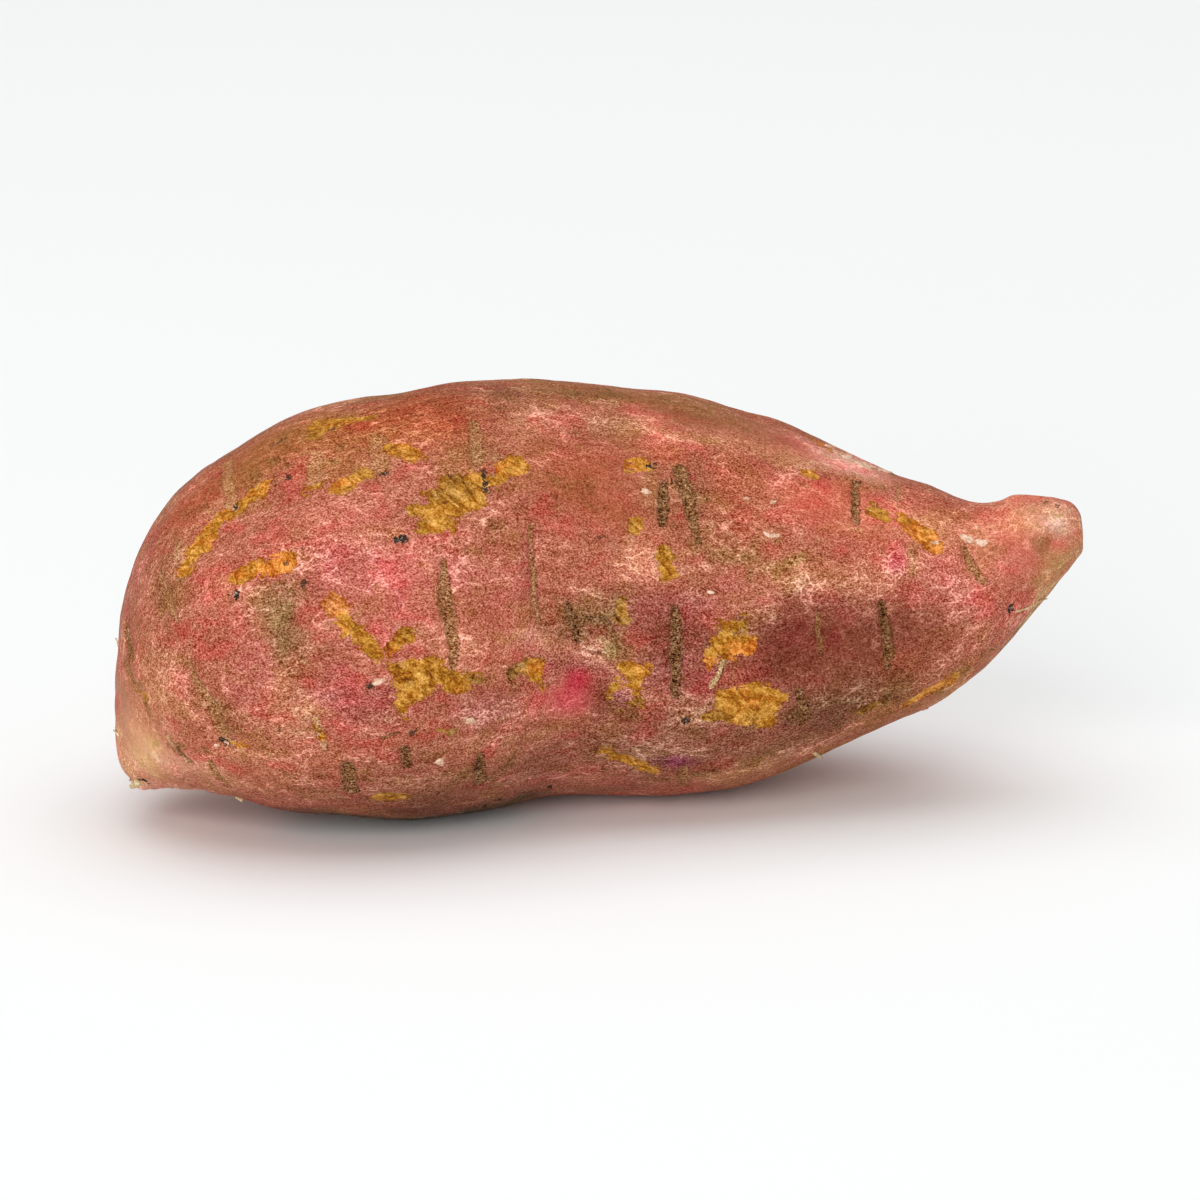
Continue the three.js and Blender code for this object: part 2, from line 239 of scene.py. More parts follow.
        [[-64, 55, 0.6]], [[-52, 47.5, 0.4]], [[-51.5, 41.5, 0.45]], [[-54.5, 60, 0.5]], [[-55, 45.5, 0.35]],
        [[9, 62, 0.6]], [[0, 49.5, 0.25]], [[-17.5, 72, 0.4]], [[-20, 2.5, 0.6]], [[-17.5, 3.5, 0.5]],
        [[-9, 5.5, 0.6]], [[72.4, 36.6, 0.8]], [[-56, 15.5, 0.35]], [[-66, 13.5, 0.75]], [[32.5, 17, 0.5]],
        [[-64, 39, 0.7]], [[-38, 61, 0.7]], [[-80, 6.5, 0.8]], [[51, 60.5, 0.4]], [[77.5, 56, 0.35]],
        [[80, 55, 0.3]], [[-40.5, 23, 0.5]], [[15, 17.5, 0.6]], [[-32.5, 15.5, 0.4]],
        [[-47, 68.4, 0.2], [-45.2, 69, 0.25]], [[-57.2, 65.4, 0.3], [-55, 66.4, 0.2]], [[24.6, 35.4, 0.3]],
        [[-74.5, 12.8, 0.2], [-72, 10.1, 0.2]], [[-20, 59.6, 0.35], [-19.2, 57.4, 0.5]],
    ],
}

# Soft changes of colour: [along, height, reach along, reach across, lean, tone, strength]. Most are the root's own
# colours, but some are painted light and shade: strips along the bottom are painted shade of the underside, strips
# along the top edge are partly painted shade, the dark patches low on the right are partly painted shade of the hollow
# under the ridge, and pale patches on the stem end and on the ridge before it are painted highlights.
tones = {
    "palette": {
        "rose": (186, 107, 84), "pink": (218, 121, 110), "berry": (188, 98, 90), "scarlet": (214, 104, 84),
        "brick": (174, 89, 60), "crimson": (200, 54, 74), "rust": (176, 88, 58), "earth": (166, 102, 50),
        "umber": (128, 80, 48), "olive": (160, 104, 68), "khaki": (150, 104, 70), "tan": (198, 130, 94),
        "peach": (228, 148, 114), "cream": (240, 184, 142), "blush": (240, 172, 154), "mauve": (158, 84, 78),
        "maroon": (126, 62, 46), "dusk": (110, 68, 42), "russet": (140, 86, 64), "purple": (136, 52, 84),
        "soil": (84, 66, 40), "cork": (200, 158, 98), "shell": (236, 176, 150),
        "pearl": (248, 206, 194), "ochre": (170, 96, 30), "ember": (176, 66, 34),
    },
    "front": [
        # The russet strips on this line and the soil strip on the next make the root darker towards the bottom: partly
        # its own colour, partly painted shade of the underside.
        [24, 13, 34, 13, 10, "russet", 0.85], [-2, 11, 24, 9, 0, "russet", 0.8], [-30, 5, 26, 6, -4, "russet", 0.7],
        [-28, 0, 24, 4, 0, "soil", 0.9], [-62, 62.5, 14, 5, 38, "earth", 0.75], [-47, 69, 9, 3.5, 18, "earth", 0.9],
        [-73.5, 54, 9, 5.5, 60, "rust", 0.6], [-76, 43, 3.6, 9, 15, "olive", 0.75],
        [-28, 71, 10, 5, 5, "brick", 0.85], [-18, 75, 7, 4, 0, "russet", 0.7], [-35, 68, 13, 4.2, 8, "rust", 0.85],
        [-47, 62, 6, 3, 12, "earth", 0.7], [-22, 63, 8, 4, 0, "earth", 0.55], [-19, 62, 4, 3, 0, "umber", 0.35],
        [-37, 68.5, 16, 4.6, 10, "ochre", 0.45], [-30, 74, 26, 4, 6, "earth", 0.35],
        [-10.5, 69.5, 4.5, 3.6, 0, "tan", 0.7], [2, 75, 22, 3.5, -2, "olive", 0.9],
        [20, 71.5, 10, 3.5, -13, "olive", 0.85], [32, 69.5, 8, 2.4, -22, "rust", 0.5],
        [9.5, 68, 6, 2.4, -4, "peach", 0.75], [21, 66, 8, 2, -10, "tan", 0.85], [34, 64, 9, 2, -12, "tan", 0.8],
        # The blush patch at 44 along, on the ridge before the stem end, is a painted highlight.
        [44, 62.4, 8, 3.0, -18, "blush", 1.0], [3, 68, 6, 3.5, 0, "olive", 0.7],
        [12, 64.5, 5.5, 2.6, 0, "scarlet", 0.75], [23, 62, 6, 3.4, -10, "brick", 0.9],
        [23, 50, 5, 3, 0, "brick", 0.5], [-3, 61, 9, 6.5, 0, "rust", 0.7], [2, 53.5, 7, 3.2, 0, "rust", 0.45],
        [16, 56.5, 3.6, 7, 6, "umber", 0.65], [9.5, 56, 3.6, 4, 0, "olive", 0.5],
        [23.5, 57, 6.5, 8.5, 0, "rust", 0.6], [38.5, 56.5, 9, 4.4, -12, "scarlet", 0.9],
        [30, 52, 6, 5, 0, "tan", 0.35], [52, 52.5, 8, 4.2, -15, "peach", 0.8], [46, 56, 5, 3, -10, "scarlet", 0.5],
        [55, 50, 8, 4, -15, "peach", 0.5], [47, 50, 5, 4, -10, "scarlet", 0.45], [57, 57, 7, 2, -20, "brick", 0.6],
        # The shell patch at 79 along and the pearl patch inside it are a painted highlight on the stem end.
        [65, 49, 6, 6.5, 0, "peach", 0.65], [72.5, 52, 6, 5.5, 0, "peach", 1.0], [79, 52.6, 5, 4.6, 0, "shell", 0.6],
        [79.4, 52.2, 2.4, 2.0, 0, "pearl", 0.5], [72.5, 46.5, 5, 4, 0, "pink", 0.6],
        [78.5, 49, 2.2, 3, 0, "olive", 0.45], [70, 50.5, 5, 3, -30, "scarlet", 0.45],
        # The ember patch at -33 along and the long earth strip along the top on the next line make the top edge
        # darker: partly painted shade.
        [58, 55, 7, 4, -20, "scarlet", 0.35], [-83, 41, 3, 8, 10, "rust", 0.5], [-33, 71, 9, 5, 5, "ember", 0.55],
        [0, 74, 60, 4, -2, "earth", 0.35], [-15, 18, 40, 6.5, 0, "khaki", 0.25], [20, 32, 13, 6, 0, "khaki", 0.28],
        [-5, 5, 45, 5, 0, "tan", 0.3], [33, 9, 9, 4, 20, "tan", 0.5], [-76, 5, 12, 4, 0, "tan", 0.3],
        [77.2, 48.4, 1.5, 1.7, 0, "olive", 0.8], [80.3, 48, 1.7, 1.9, 0, "pink", 0.9],
        [84.6, 51, 1.2, 6, 0, "cork", 0.9], [66.5, 53, 3.5, 2, 0, "scarlet", 0.5],
        [38, 43.5, 13, 3.4, -2, "tan", 0.7], [22, 46, 7, 5, 0, "olive", 0.5], [7.5, 46, 4.4, 4.6, 0, "peach", 0.6],
        [61, 43.5, 10, 4, -22, "pink", 0.6], [39, 38.5, 9, 3.0, 0, "maroon", 0.5], [16.5, 38, 4, 3, 0, "mauve", 0.5],
        [65, 37, 7, 3, -28, "pink", 0.4], [-36, 43.5, 9.5, 7.5, 0, "pink", 0.95],
        [-45, 53, 8.5, 4.2, 12, "pink", 0.45], [-47, 45.5, 6, 4.5, 0, "berry", 0.7], [-52, 50, 7, 4, 0, "rust", 0.4],
        [-25, 43.5, 4, 4, 0, "berry", 0.5], [-18, 40, 8, 8, 0, "pink", 0.3], [-18.5, 37.5, 4, 4, 0, "pink", 0.45],
        [-12, 32, 7, 3, 0, "blush", 0.45], [-37, 33, 7, 4, 0, "pink", 0.4], [-26, 31, 5, 4, 0, "peach", 0.35],
        [-19, 31.5, 4, 4, 0, "brick", 0.4], [-47, 24, 3.4, 7.5, 0, "berry", 0.55],
        [-61.5, 26, 4.5, 8, 0, "berry", 0.6], [-66, 42.5, 4, 4, 0, "scarlet", 0.4],
        [-54.5, 34, 4.6, 7.5, 8, "khaki", 0.85], [-54, 19.5, 5.5, 5.5, 0, "tan", 0.75],
        [-78.5, 23, 6, 10, 0, "tan", 0.75], [-82.5, 32, 1.8, 6, 10, "rust", 0.6],
        [-80.5, 12, 7, 7.5, 0, "cream", 1.0], [-72, 8.5, 8, 5, -10, "shell", 0.7], [-63, 10, 8, 4.5, 0, "tan", 0.6],
        [-47, 20, 5, 4.5, 0, "berry", 0.7], [-38, 20, 8, 4.5, 0, "mauve", 0.5], [-61, 23.5, 5, 6, 0, "berry", 0.4],
        [-34, 14, 6, 3, 0, "tan", 0.35], [-34, 10, 9, 4, 0, "russet", 0.4], [9, 38, 8.5, 3.8, 0, "mauve", 0.65],
        [3, 38.5, 4, 3, 0, "umber", 0.35], [-20, 20.5, 6, 3.2, 0, "mauve", 0.65],
        [9.6, 26, 2.8, 4, 0, "maroon", 0.6], [14.5, 31, 5, 7, 0, "maroon", 0.75], [21, 40.5, 4, 3, 0, "berry", 0.5],
        [-3, 35, 6.5, 4.2, 0, "khaki", 0.9], [1.5, 33, 5, 4, 0, "khaki", 0.8], [-4.5, 33.5, 3, 2.4, 0, "umber", 0.6],
        # The maroon patches at 46 and 33 along and the dusk patch at 41 along, low on the right under the ridge, are
        # partly the root's own dark red and partly painted shade of the hollow there.
        [-4, 26.6, 12, 2.6, 0, "mauve", 0.6], [46, 31.5, 18, 7.5, 7, "maroon", 0.9],
        [52, 26, 5, 2.6, 20, "rust", 0.5], [33, 30, 6.5, 6.5, 0, "maroon", 0.9],
        [41, 20.5, 9.5, 4.2, 18, "dusk", 0.75], [52, 23, 7, 3, 28, "umber", 0.6],
        [62.5, 24.5, 9, 2.2, 38, "earth", 0.75], [50, 18.5, 8, 2, 26, "earth", 0.6],
        [75, 35, 3.4, 9, -38, "tan", 0.8], [80, 44.5, 3.6, 5, -36, "cork", 0.75],
        [-6.5, 20.6, 5, 2.6, 0, "pink", 0.8], [-3.3, 24.2, 2.6, 2.2, 0, "crimson", 1.0],
        [-4.8, 20.8, 4.6, 2.4, 0, "crimson", 0.55], [-2, 8, 8, 3.5, 0, "pink", 0.5],
        [2.2, 20.6, 3.6, 4, 0, "maroon", 0.8], [15, 25.5, 5, 5, 0, "mauve", 0.6],
        [13, 10.5, 3.8, 1.0, 0, "purple", 0.85], [4.5, 21.5, 1.8, 1.2, 0, "purple", 0.5],
        # The dusk patch at -30 along, on the bottom edge, is painted shade of the underside.
        [52.5, 46, 2, 2, 0, "crimson", 0.6], [25, 8.5, 11, 3.8, 12, "tan", 0.75], [-30, 2, 9, 3, 0, "dusk", 0.7],
        [33, 13, 8, 2.4, 24, "umber", 0.5], [-68.5, 20.5, 2.6, 7, 20, "olive", 0.6],
        [-11, 45, 2, 7, 0, "mauve", 0.2], [84, 42, 3, 6, -38, "cork", 0.9], [77, 33, 3, 9, -38, "cork", 0.7],
        [76, 60, 6, 2.6, 0, "peach", 0.9], [-88, 26, 4, 14, 5, "tan", 0.9], [-87, 11, 4, 8, 0, "cream", 0.9],
        # The olive strips at -80 and -60 along here and at -40 along on the next line make the top edge darker: partly
        # painted shade.
        [-76, 2, 9, 3, 0, "shell", 0.85], [-80, 56, 10, 5, 60, "olive", 0.7], [-60, 73, 14, 4, 36, "olive", 0.7],
        # The soil strips on this line, under the lowest edge, are painted shade of the underside.
        [-40, 79, 14, 3.4, 10, "olive", 0.6], [-50, -3, 12, 3.4, 0, "soil", 0.85], [-20, -4, 16, 3, 5, "soil", 0.8],
        [42, 7, 16, 3, 25, "earth", 0.75], [62, 18, 10, 3, 38, "cork", 0.65],
    ],
    "back": [
        [-68, 50, 14, 8, 30, "earth", 0.8], [-50, 60, 12, 6, 20, "brick", 0.6], [-30, 66, 18, 6, 0, "olive", 0.8],
        [5, 66, 16, 5, -6, "rust", 0.7], [28, 60, 12, 6, -12, "tan", 0.6], [-66, 28, 8, 14, 10, "peach", 0.6],
        [-44, 40, 14, 9, 0, "pink", 0.7], [-20, 46, 16, 6, 0, "scarlet", 0.5], [8, 40, 14, 8, 0, "pink", 0.6],
        [32, 42, 12, 6, -5, "mauve", 0.6], [50, 46, 12, 5, -10, "scarlet", 0.5], [70, 48, 8, 5, 0, "peach", 0.7],
        [-40, 18, 20, 6, 0, "russet", 0.8], [-8, 24, 12, 7, 0, "maroon", 0.6], [20, 20, 18, 7, 10, "umber", 0.7],
        [48, 28, 14, 5, 25, "earth", 0.6], [-74, 12, 6, 6, 0, "cream", 0.7], [-12, 34, 4, 3, 0, "crimson", 0.7],
        [58, 36, 5, 3, 0, "crimson", 0.5], [-56, 46, 6, 4, 0, "tan", 0.6], [-30, 30, 9, 5, 10, "mauve", 0.6],
        [-4, 52, 9, 4, 0, "umber", 0.5], [20, 32, 7, 5, 0, "berry", 0.6], [44, 36, 6, 5, 0, "maroon", 0.5],
        [-58, 34, 7, 5, 0, "berry", 0.6], [62, 42, 6, 4, -20, "pink", 0.6], [-20, 62, 8, 4, 0, "earth", 0.6],
        [10, 58, 10, 4, 0, "peach", 0.4],
    ],
}

# Veils over the skin: [along, height, reach along, reach across, lean, strength]. Dust is olive and grainy,
# bloom is pale, and calm skin has less grain.
veils = {
    "dust": {
        "front": [
            [-55, 37, 5, 5, 10, 0.8], [-53, 27, 2.6, 8, 12, 0.8], [-60.5, 39, 5, 2.2, 0, 0.6],
            [-57, 62, 11, 4, 33, 0.6], [-46, 66, 8, 3.5, 20, 0.5], [-30, 68, 9, 3, 5, 0.4], [0, 74, 24, 2.6, -2, 0.7],
            [-20, 53.5, 8, 4, 0, 0.5], [-2, 58, 8, 6, 0, 0.45], [14, 55.5, 5, 6, 0, 0.5], [22, 48, 9, 4, 0, 0.6],
            [30, 45.5, 11, 2.2, 0, 0.7], [-1.5, 36.5, 6.5, 2.8, 0, 0.95], [4, 31, 4, 3, 0, 0.7],
            [-12, 24, 5, 2.5, 0, 0.6], [14, 25, 3, 5, 0, 0.4], [5, 21, 5, 3.5, 0, 0.5], [33, 20, 4, 4, 0, 0.3],
            [46, 19.5, 12, 3, 25, 0.25], [60, 24, 11, 2.6, 32, 0.7], [74, 36, 3, 8, -35, 0.6],
            [-20, 8, 26, 4.5, 0, 0.7], [12, 8.5, 20, 3.5, 0, 0.6], [-45, 8, 10, 5, -10, 0.6],
            [-60, 16, 5, 4, 0, 0.45], [-66, 20, 3, 7, 20, 0.5], [-73, 52, 7, 5, 55, 0.4], [-70, 12, 4, 3, 0, 0.5],
            [78, 50, 2.4, 4, 0, 0.4], [66, 47, 3, 3, 0, 0.4], [50, 50, 6, 3, 0, 0.4], [40, 62, 12, 3, -15, 0.3],
            [-76, 40, 3, 8, 15, 0.3],
        ],
        "back": [
            [-60, 40, 6, 8, 10, 0.7], [-40, 62, 14, 4, 8, 0.6], [-10, 68, 18, 4, 0, 0.7], [-36, 34, 8, 4, 0, 0.5],
            [-6, 40, 6, 4, 0, 0.8], [14, 34, 8, 5, 0, 0.6], [22, 56, 10, 5, -8, 0.6], [44, 40, 10, 4, -5, 0.6],
            [-30, 14, 26, 5, 0, 0.7], [16, 16, 22, 5, 4, 0.7], [54, 30, 12, 4, 28, 0.6], [72, 40, 4, 7, -20, 0.5],
            [-70, 22, 4, 9, 16, 0.5],
        ],
    },
    "calm": {
        "front": [
            [45, 31, 18, 7.5, 7, 0.5], [22, 70, 28, 5, -12, 0.6], [77, 49, 11, 9, 0, 0.6], [-80, 13, 9, 11, 0, 0.85],
            [-62, 63, 17, 5, 36, 0.4], [0, 57, 11, 8, 0, 0.45], [-5, 22, 5, 4, 0, 0.5], [40, 56, 10, 5, -12, 0.4],
        ],
        "back": [
            [-78, 14, 9, 10, 0, 0.8], [74, 48, 14, 9, 0, 0.7], [-10, 24, 14, 8, 0, 0.6], [30, 60, 20, 6, -14, 0.5],
        ],
    },
    "bloom": {
        "front": [
            [7, 46, 5.5, 4.5, 0, 0.6], [-2, 31, 4, 2, 0, 0.6], [-46, 47, 7, 3.5, 0, 0.5], [-36, 50, 4, 3, 0, 0.5],
            [-8, 28.5, 8, 2.5, 0, 0.5], [28.5, 36, 3, 2.5, 0, 0.7], [36, 40.5, 9, 3, 0, 0.5],
            # The bloom at 80 along on the stem end and along the ridge at 46 along is a painted highlight; the other
            # bloom is the skin's own pale film.
            [60, 38, 9, 4, -10, 0.5], [70, 52, 5, 3, 0, 0.5], [80, 53, 3, 2.6, 0, 0.8], [-76, 24, 5, 9, 0, 0.5],
            [-80, 10, 5, 4, 0, 0.6], [-55, 18, 6, 5, 0, 0.5], [-47, 20, 4, 6, 0, 0.15], [16, 19, 6, 2.5, 0, 0.5],
            [-12, 71, 8, 2.5, 0, 0.5], [46, 64, 8, 1.6, -15, 0.6], [24, 63, 10, 3, -5, 0.3], [-24, 48, 6, 3, 0, 0.4],
            [8, 12, 8, 2, 0, 0.4], [54, 45, 7, 2, 0, 0.5], [-30, 18, 8, 3, 0, 0.3], [35, 12, 12, 2.5, 20, 0.4],
        ],
        "back": [
            [-70, 36, 5, 9, 0, 0.5], [-50, 48, 8, 4, 0, 0.5], [-22, 56, 9, 4, 0, 0.4], [0, 30, 9, 3, 0, 0.5],
            [26, 46, 9, 4, -6, 0.5], [46, 52, 10, 3, -12, 0.5], [66, 50, 6, 4, 0, 0.5], [34, 28, 10, 4, 12, 0.4],
            [-48, 24, 9, 5, 0, 0.4], [-78, 10, 5, 4, 0, 0.6],
        ],
    },
}

# The camera, in millimetres: how far off it stands, how wide a view it has there, and how high it aims.
camera = {"distance": 1900, "frameWidth": 210, "aimHeight": 38.5, "sensor": 36}


# A smooth curve through the rings' values: the uniform Catmull-Rom blend of each value with its three neighbours.
def smoothThrough(values, t):
    last = len(values) - 1
    padded = np.vstack([2 * values[0] - values[1], values, 2 * values[-1] - values[-2]])
    place = np.clip(t, 0, 1) * last
    start = np.minimum(np.floor(place).astype(int), last - 1)
    part = (place - start)[:, None]
    a, b, c, d = padded[start], padded[start + 1], padded[start + 2], padded[start + 3]
    curve = 2 * b + (c - a) * part + (2 * a - 5 * b + 4 * c - d) * part ** 2 + (3 * b - a - 3 * c + d) * part ** 3
    return curve / 2


# Length along a row of points, from 0.
def lengthAlong(points):
    return np.r_[0, np.cumsum(np.linalg.norm(np.diff(points, axis=0), axis=1))]


# The smooth root: a superellipse ring at each run, hung between the rails and widest a little below its middle.
# Returns the points as along, depth and height, and their fibre coordinates: length along, then round the ring.
def smoothRoot(run, turn):
    rings = np.array(root["rings"], float)
    fine = np.linspace(0, 1, 4000)
    upperLength = lengthAlong(smoothThrough(rings[:, 0:2], fine))
    lowerLength = lengthAlong(smoothThrough(rings[:, 2:4], fine))
    t = np.interp(run, upperLength / upperLength[-1], fine)
    ring = smoothThrough(rings, t)
    half = np.maximum(ring[:, 4], 0)
    up = np.cos(turn)
    out = -np.sin(turn)
    power = root["sectionPower"]
    square = (np.abs(up) ** power + np.abs(out) ** power) ** (-1 / power)
    rise = up * square + root["belly"] * out * out
    middle = (ring[:, 0:2] + ring[:, 2:4]) / 2
    reach = (ring[:, 0:2] - ring[:, 2:4]) / 2
    side = middle + reach * rise[:, None]
    points = np.column_stack([side[:, 0], ring[:, 5] + half * out * square, side[:, 1]])
    length = (np.interp(t, fine, upperLength) + np.interp(t, fine, lowerLength)) / 2
    fibre = np.column_stack([length, half * out * square, np.linalg.norm(reach, axis=1) * up * square])
    return points, fibre


# Distances from a middle, along and across a leaning line.
def fromMiddle(points, along, height, lean):
    angle = math.radians(lean)
    x = points[:, 0] - along
    z = points[:, 2] - height
    return x * math.cos(angle) + z * math.sin(angle), z * math.cos(angle) - x * math.sin(angle)


# Random values at whole-numbered corners, from -1 to 1, blended with a smooth step between them.
def softNoise(points, seed):
    corner = np.floor(points).astype(np.int64)
    part = points - corner
    part = part * part * (3 - 2 * part)
    mixed = np.zeros(len(points))
    for dx in (0, 1):
        for dy in (0, 1):
            for dz in (0, 1):
                key = (corner[:, 0] + dx) * 73856093 ^ (corner[:, 1] + dy) * 19349663 ^ (corner[:, 2] + dz) * 83492791
                key = (key + seed * 374761393) & 0xFFFFFFFF
                key = ((key ^ (key >> 13)) * 1274126177) & 0xFFFFFFFF
                key = ((key ^ (key >> 16)) * 2246822519) & 0xFFFFFFFF
                value = (key ^ (key >> 15)) / 0x7FFFFFFF - 1
                weightX = part[:, 0] if dx else 1 - part[:, 0]
                weightY = part[:, 1] if dy else 1 - part[:, 1]
                weightZ = part[:, 2] if dz else 1 - part[:, 2]
                mixed += value * weightX * weightY * weightZ
    return mixed


# Points moved about by noise of one or more sizes, so that what is measured from them wanders: [size, move] in mm.
def wander(points, steps, seed):
    moved = points.copy()
    for index, (size, move) in enumerate(steps):
        for axis in range(3):
            moved[:, axis] += move * softNoise(points / size + 7.7 * axis, seed + 10 * index + axis)
    return moved


# Outward directions of a closed grid of rings, from the steps to its neighbours on each side.
def gridNormals(grid):
    around = np.roll(grid, -1, axis=1) - np.roll(grid, 1, axis=1)
    along = np.gradient(grid, axis=0)
    normals = np.cross(around, along)
    return normals / np.maximum(np.linalg.norm(normals, axis=2, keepdims=True), 1e-9)


# The nearest distance from each point to a stroke, less the stroke's own half width there.
def strokeDistance(points, stroke, furthest):
    best = np.full(len(points), furthest)
    centres = np.array([spot[0:3] for spot in stroke])
    widths = np.array([spot[3] for spot in stroke])
    if len(stroke) == 1:
        centres = np.vstack([centres, centres])
        widths = np.r_[widths, widths]
    for a, b, widthA, widthB in zip(centres[:-1], centres[1:], widths[:-1], widths[1:]):
        low = np.minimum(a, b) - furthest - 2
        high = np.maximum(a, b) + furthest + 2
        near = np.nonzero(((points > low) & (points < high)).all(axis=1))[0]
        step = b - a
        share = np.clip((points[near] - a) @ step / max(step @ step, 1e-9), 0, 1)
        gap = np.linalg.norm(points[near] - a - share[:, None] * step, axis=1) - (widthA + (widthB - widthA) * share)
        best[near] = np.minimum(best[near], gap)
    return best


# Light values of a colour, for what isn't mixed in a material.
def toLight(colour):
    colour = np.asarray(colour, float) / 255
    return np.where(colour <= 0.04045, colour / 12.92, ((colour + 0.055) / 1.055) ** 2.4)


# The root's form: the smooth root moved along its normals by ribs, which are a cosine round it that winds along it,
# by folds and hollows, which are bell curves, and by a furrow under each root scar. The rails stay where they are.
def shapeRoot():
    runs = np.linspace(0, 1, root["runSteps"] + 1)[1:-1]
    turns = np.linspace(0, 2 * math.pi, root["turnSteps"], endpoint=False)
    run, turn = [part.ravel() for part in np.meshgrid(runs, turns, indexing="ij")]
    smooth, fibre = smoothRoot(run, turn)
    shape = (len(runs), len(turns), 3)
    normals = gridNormals(smooth.reshape(shape)).reshape(-1, 3)
    facing = np.sin(turn)
    lift = root["ribLift"] * np.sin(math.pi * run) * np.cos(root["ribCount"] * turn + root["ribTwist"] * run)
    for side, folds, furrows in (
        (facing > 0, root["frontFolds"], root["frontFurrows"]),
        (facing <= 0, root["backFolds"], root["backFurrows"]),
    ):
        for along, height, reachAlong, reachAcross, lean, rise in folds:
            a, b = fromMiddle(smooth, along, height, lean)
            lift += side * rise * np.exp(-((a / reachAlong) ** 2) - (b / reachAcross) ** 2)
        for along, height, length, lean in furrows:
            a, b = fromMiddle(smooth, along, height, lean)
            depth = np.exp(-((a / root["furrowReach"]) ** 2) - (b / (length / 2)) ** 4)
            lift -= side * root["furrowDepth"] * depth
    points = smooth + normals * (lift * facing ** 2)[:, None]
    return points, normals, fibre, shape, run


# Where each spot lies on the skin: the point that shows nearest to it, from the front or from behind.
def nearestShown(points, normals, spots, front):
    seen = np.nonzero(normals[:, 1] < -0.02 if front else normals[:, 1] > 0.02)[0]
    candidates = points[seen]
    scale = camera["distance"] / (camera["distance"] + candidates[:, 1]) if front else np.ones(len(candidates))
    shownX = candidates[:, 0] * scale
    shownZ = (candidates[:, 2] - camera["aimHeight"]) * scale + camera["aimHeight"]
    return [seen[np.argmin((shownX - spot[0]) ** 2 + (shownZ - spot[1]) ** 2)] for spot in spots]


# A stroke's spots placed on the skin: [x, y, z, half width].
def onSkin(points, normals, spots, front):
    found = nearestShown(points, normals, spots, front)
    return [[*points[index], spot[2]] for index, spot in zip(found, spots)]


# Marks on the side that the outline doesn't show: rubbed patches near a grid of places, of which a share is left out,
# and chips and pits anywhere.
backScatter = {
    "seed": 41,
    "spacing": 10.5, "reach": 70, "rows": (20, 38, 56), "leftOut": 0.5, "step": 2,
    "chips": {"count": 9, "along": 70, "height": (12, 62), "size": (0.4, 0.9)},
    "pits": {"count": 22, "along": 74, "height": (10, 66), "size": (0.25, 0.8)},
}


# Strokes for the back. A slit is bowed and lies in its furrow. A rubbed patch is a walk that bends at random, and a
# large one turns sharply and goes on once or twice.
def backMarks():
    rng = np.random.default_rng(backScatter["seed"])
    slits = []
    for along, height, length, lean in root["backFurrows"]:
        angle = math.radians(lean + rng.uniform(-8, 8))
        half = (length / 2 - 1) * rng.uniform(0.45, 1)
        width = rng.uniform(0.4, 1.2)
        bow = rng.uniform(-0.8, 0.8)
        slit = [rng.uniform(0.35, 1)]
        for k, share in ((-1, 0.4), (-0.4, 1), (0.3, 0.8), (1, 0.4)):
            x = along + math.sin(angle) * half * k + bow * (1 - k * k)
            slit.append([x, height - math.cos(angle) * half * k, width * share])
        slits.append(slit)
    rubbed = []
    for along in np.arange(-backScatter["reach"], backScatter["reach"], backScatter["spacing"]):
        for height in backScatter["rows"]:
            if rng.random() < backScatter["leftOut"]:
                continue
            size = rng.random() ** 2
            x = along + rng.uniform(-5, 5)
            z = height + rng.uniform(-9, 9)
            tone = rng.uniform(0.1, 1.1)
            heading = rng.uniform(-1.6, 1.6)
            for _ in range(1 + int(3 * size)):
                stroke = [tone + rng.uniform(-0.2, 0.2)]
                for _ in range(2 + int(2 * rng.random() + 2 * size)):
                    stroke.append([x, z, (0.5 + 1.2 * size) * rng.uniform(0.7, 1.3)])
                    x += backScatter["step"] * math.cos(heading)
                    z += backScatter["step"] * math.sin(heading)
                    heading += rng.uniform(-0.7, 0.7)
                rubbed.append(stroke)
                heading += rng.uniform(1.1, 2)
    found = {"rubbed": rubbed, "slits": slits}
    for kind in ("chips", "pits"):
        spread = backScatter[kind]
        found[kind] = [[[rng.uniform(-spread["along"], spread["along"]), rng.uniform(*spread["height"]),
                         rng.uniform(*spread["size"])]] for _ in range(spread["count"])]
    return found


# How far each mark reaches, in millimetres, and how much its edge wanders: [size, move] of each noise.
markEdges = {
    "furthest": 4.0,
    "beside": 1.0,
    "far": [3.0, 0.0, -12.0],  # the place beside no mark, whose width below 0 puts its edge 15 mm away
    "loose": [[3.2, 0.55], [1.5, 0.3]],
    "tight": [[2.4, 0.16], [0.9, 0.1]],
}


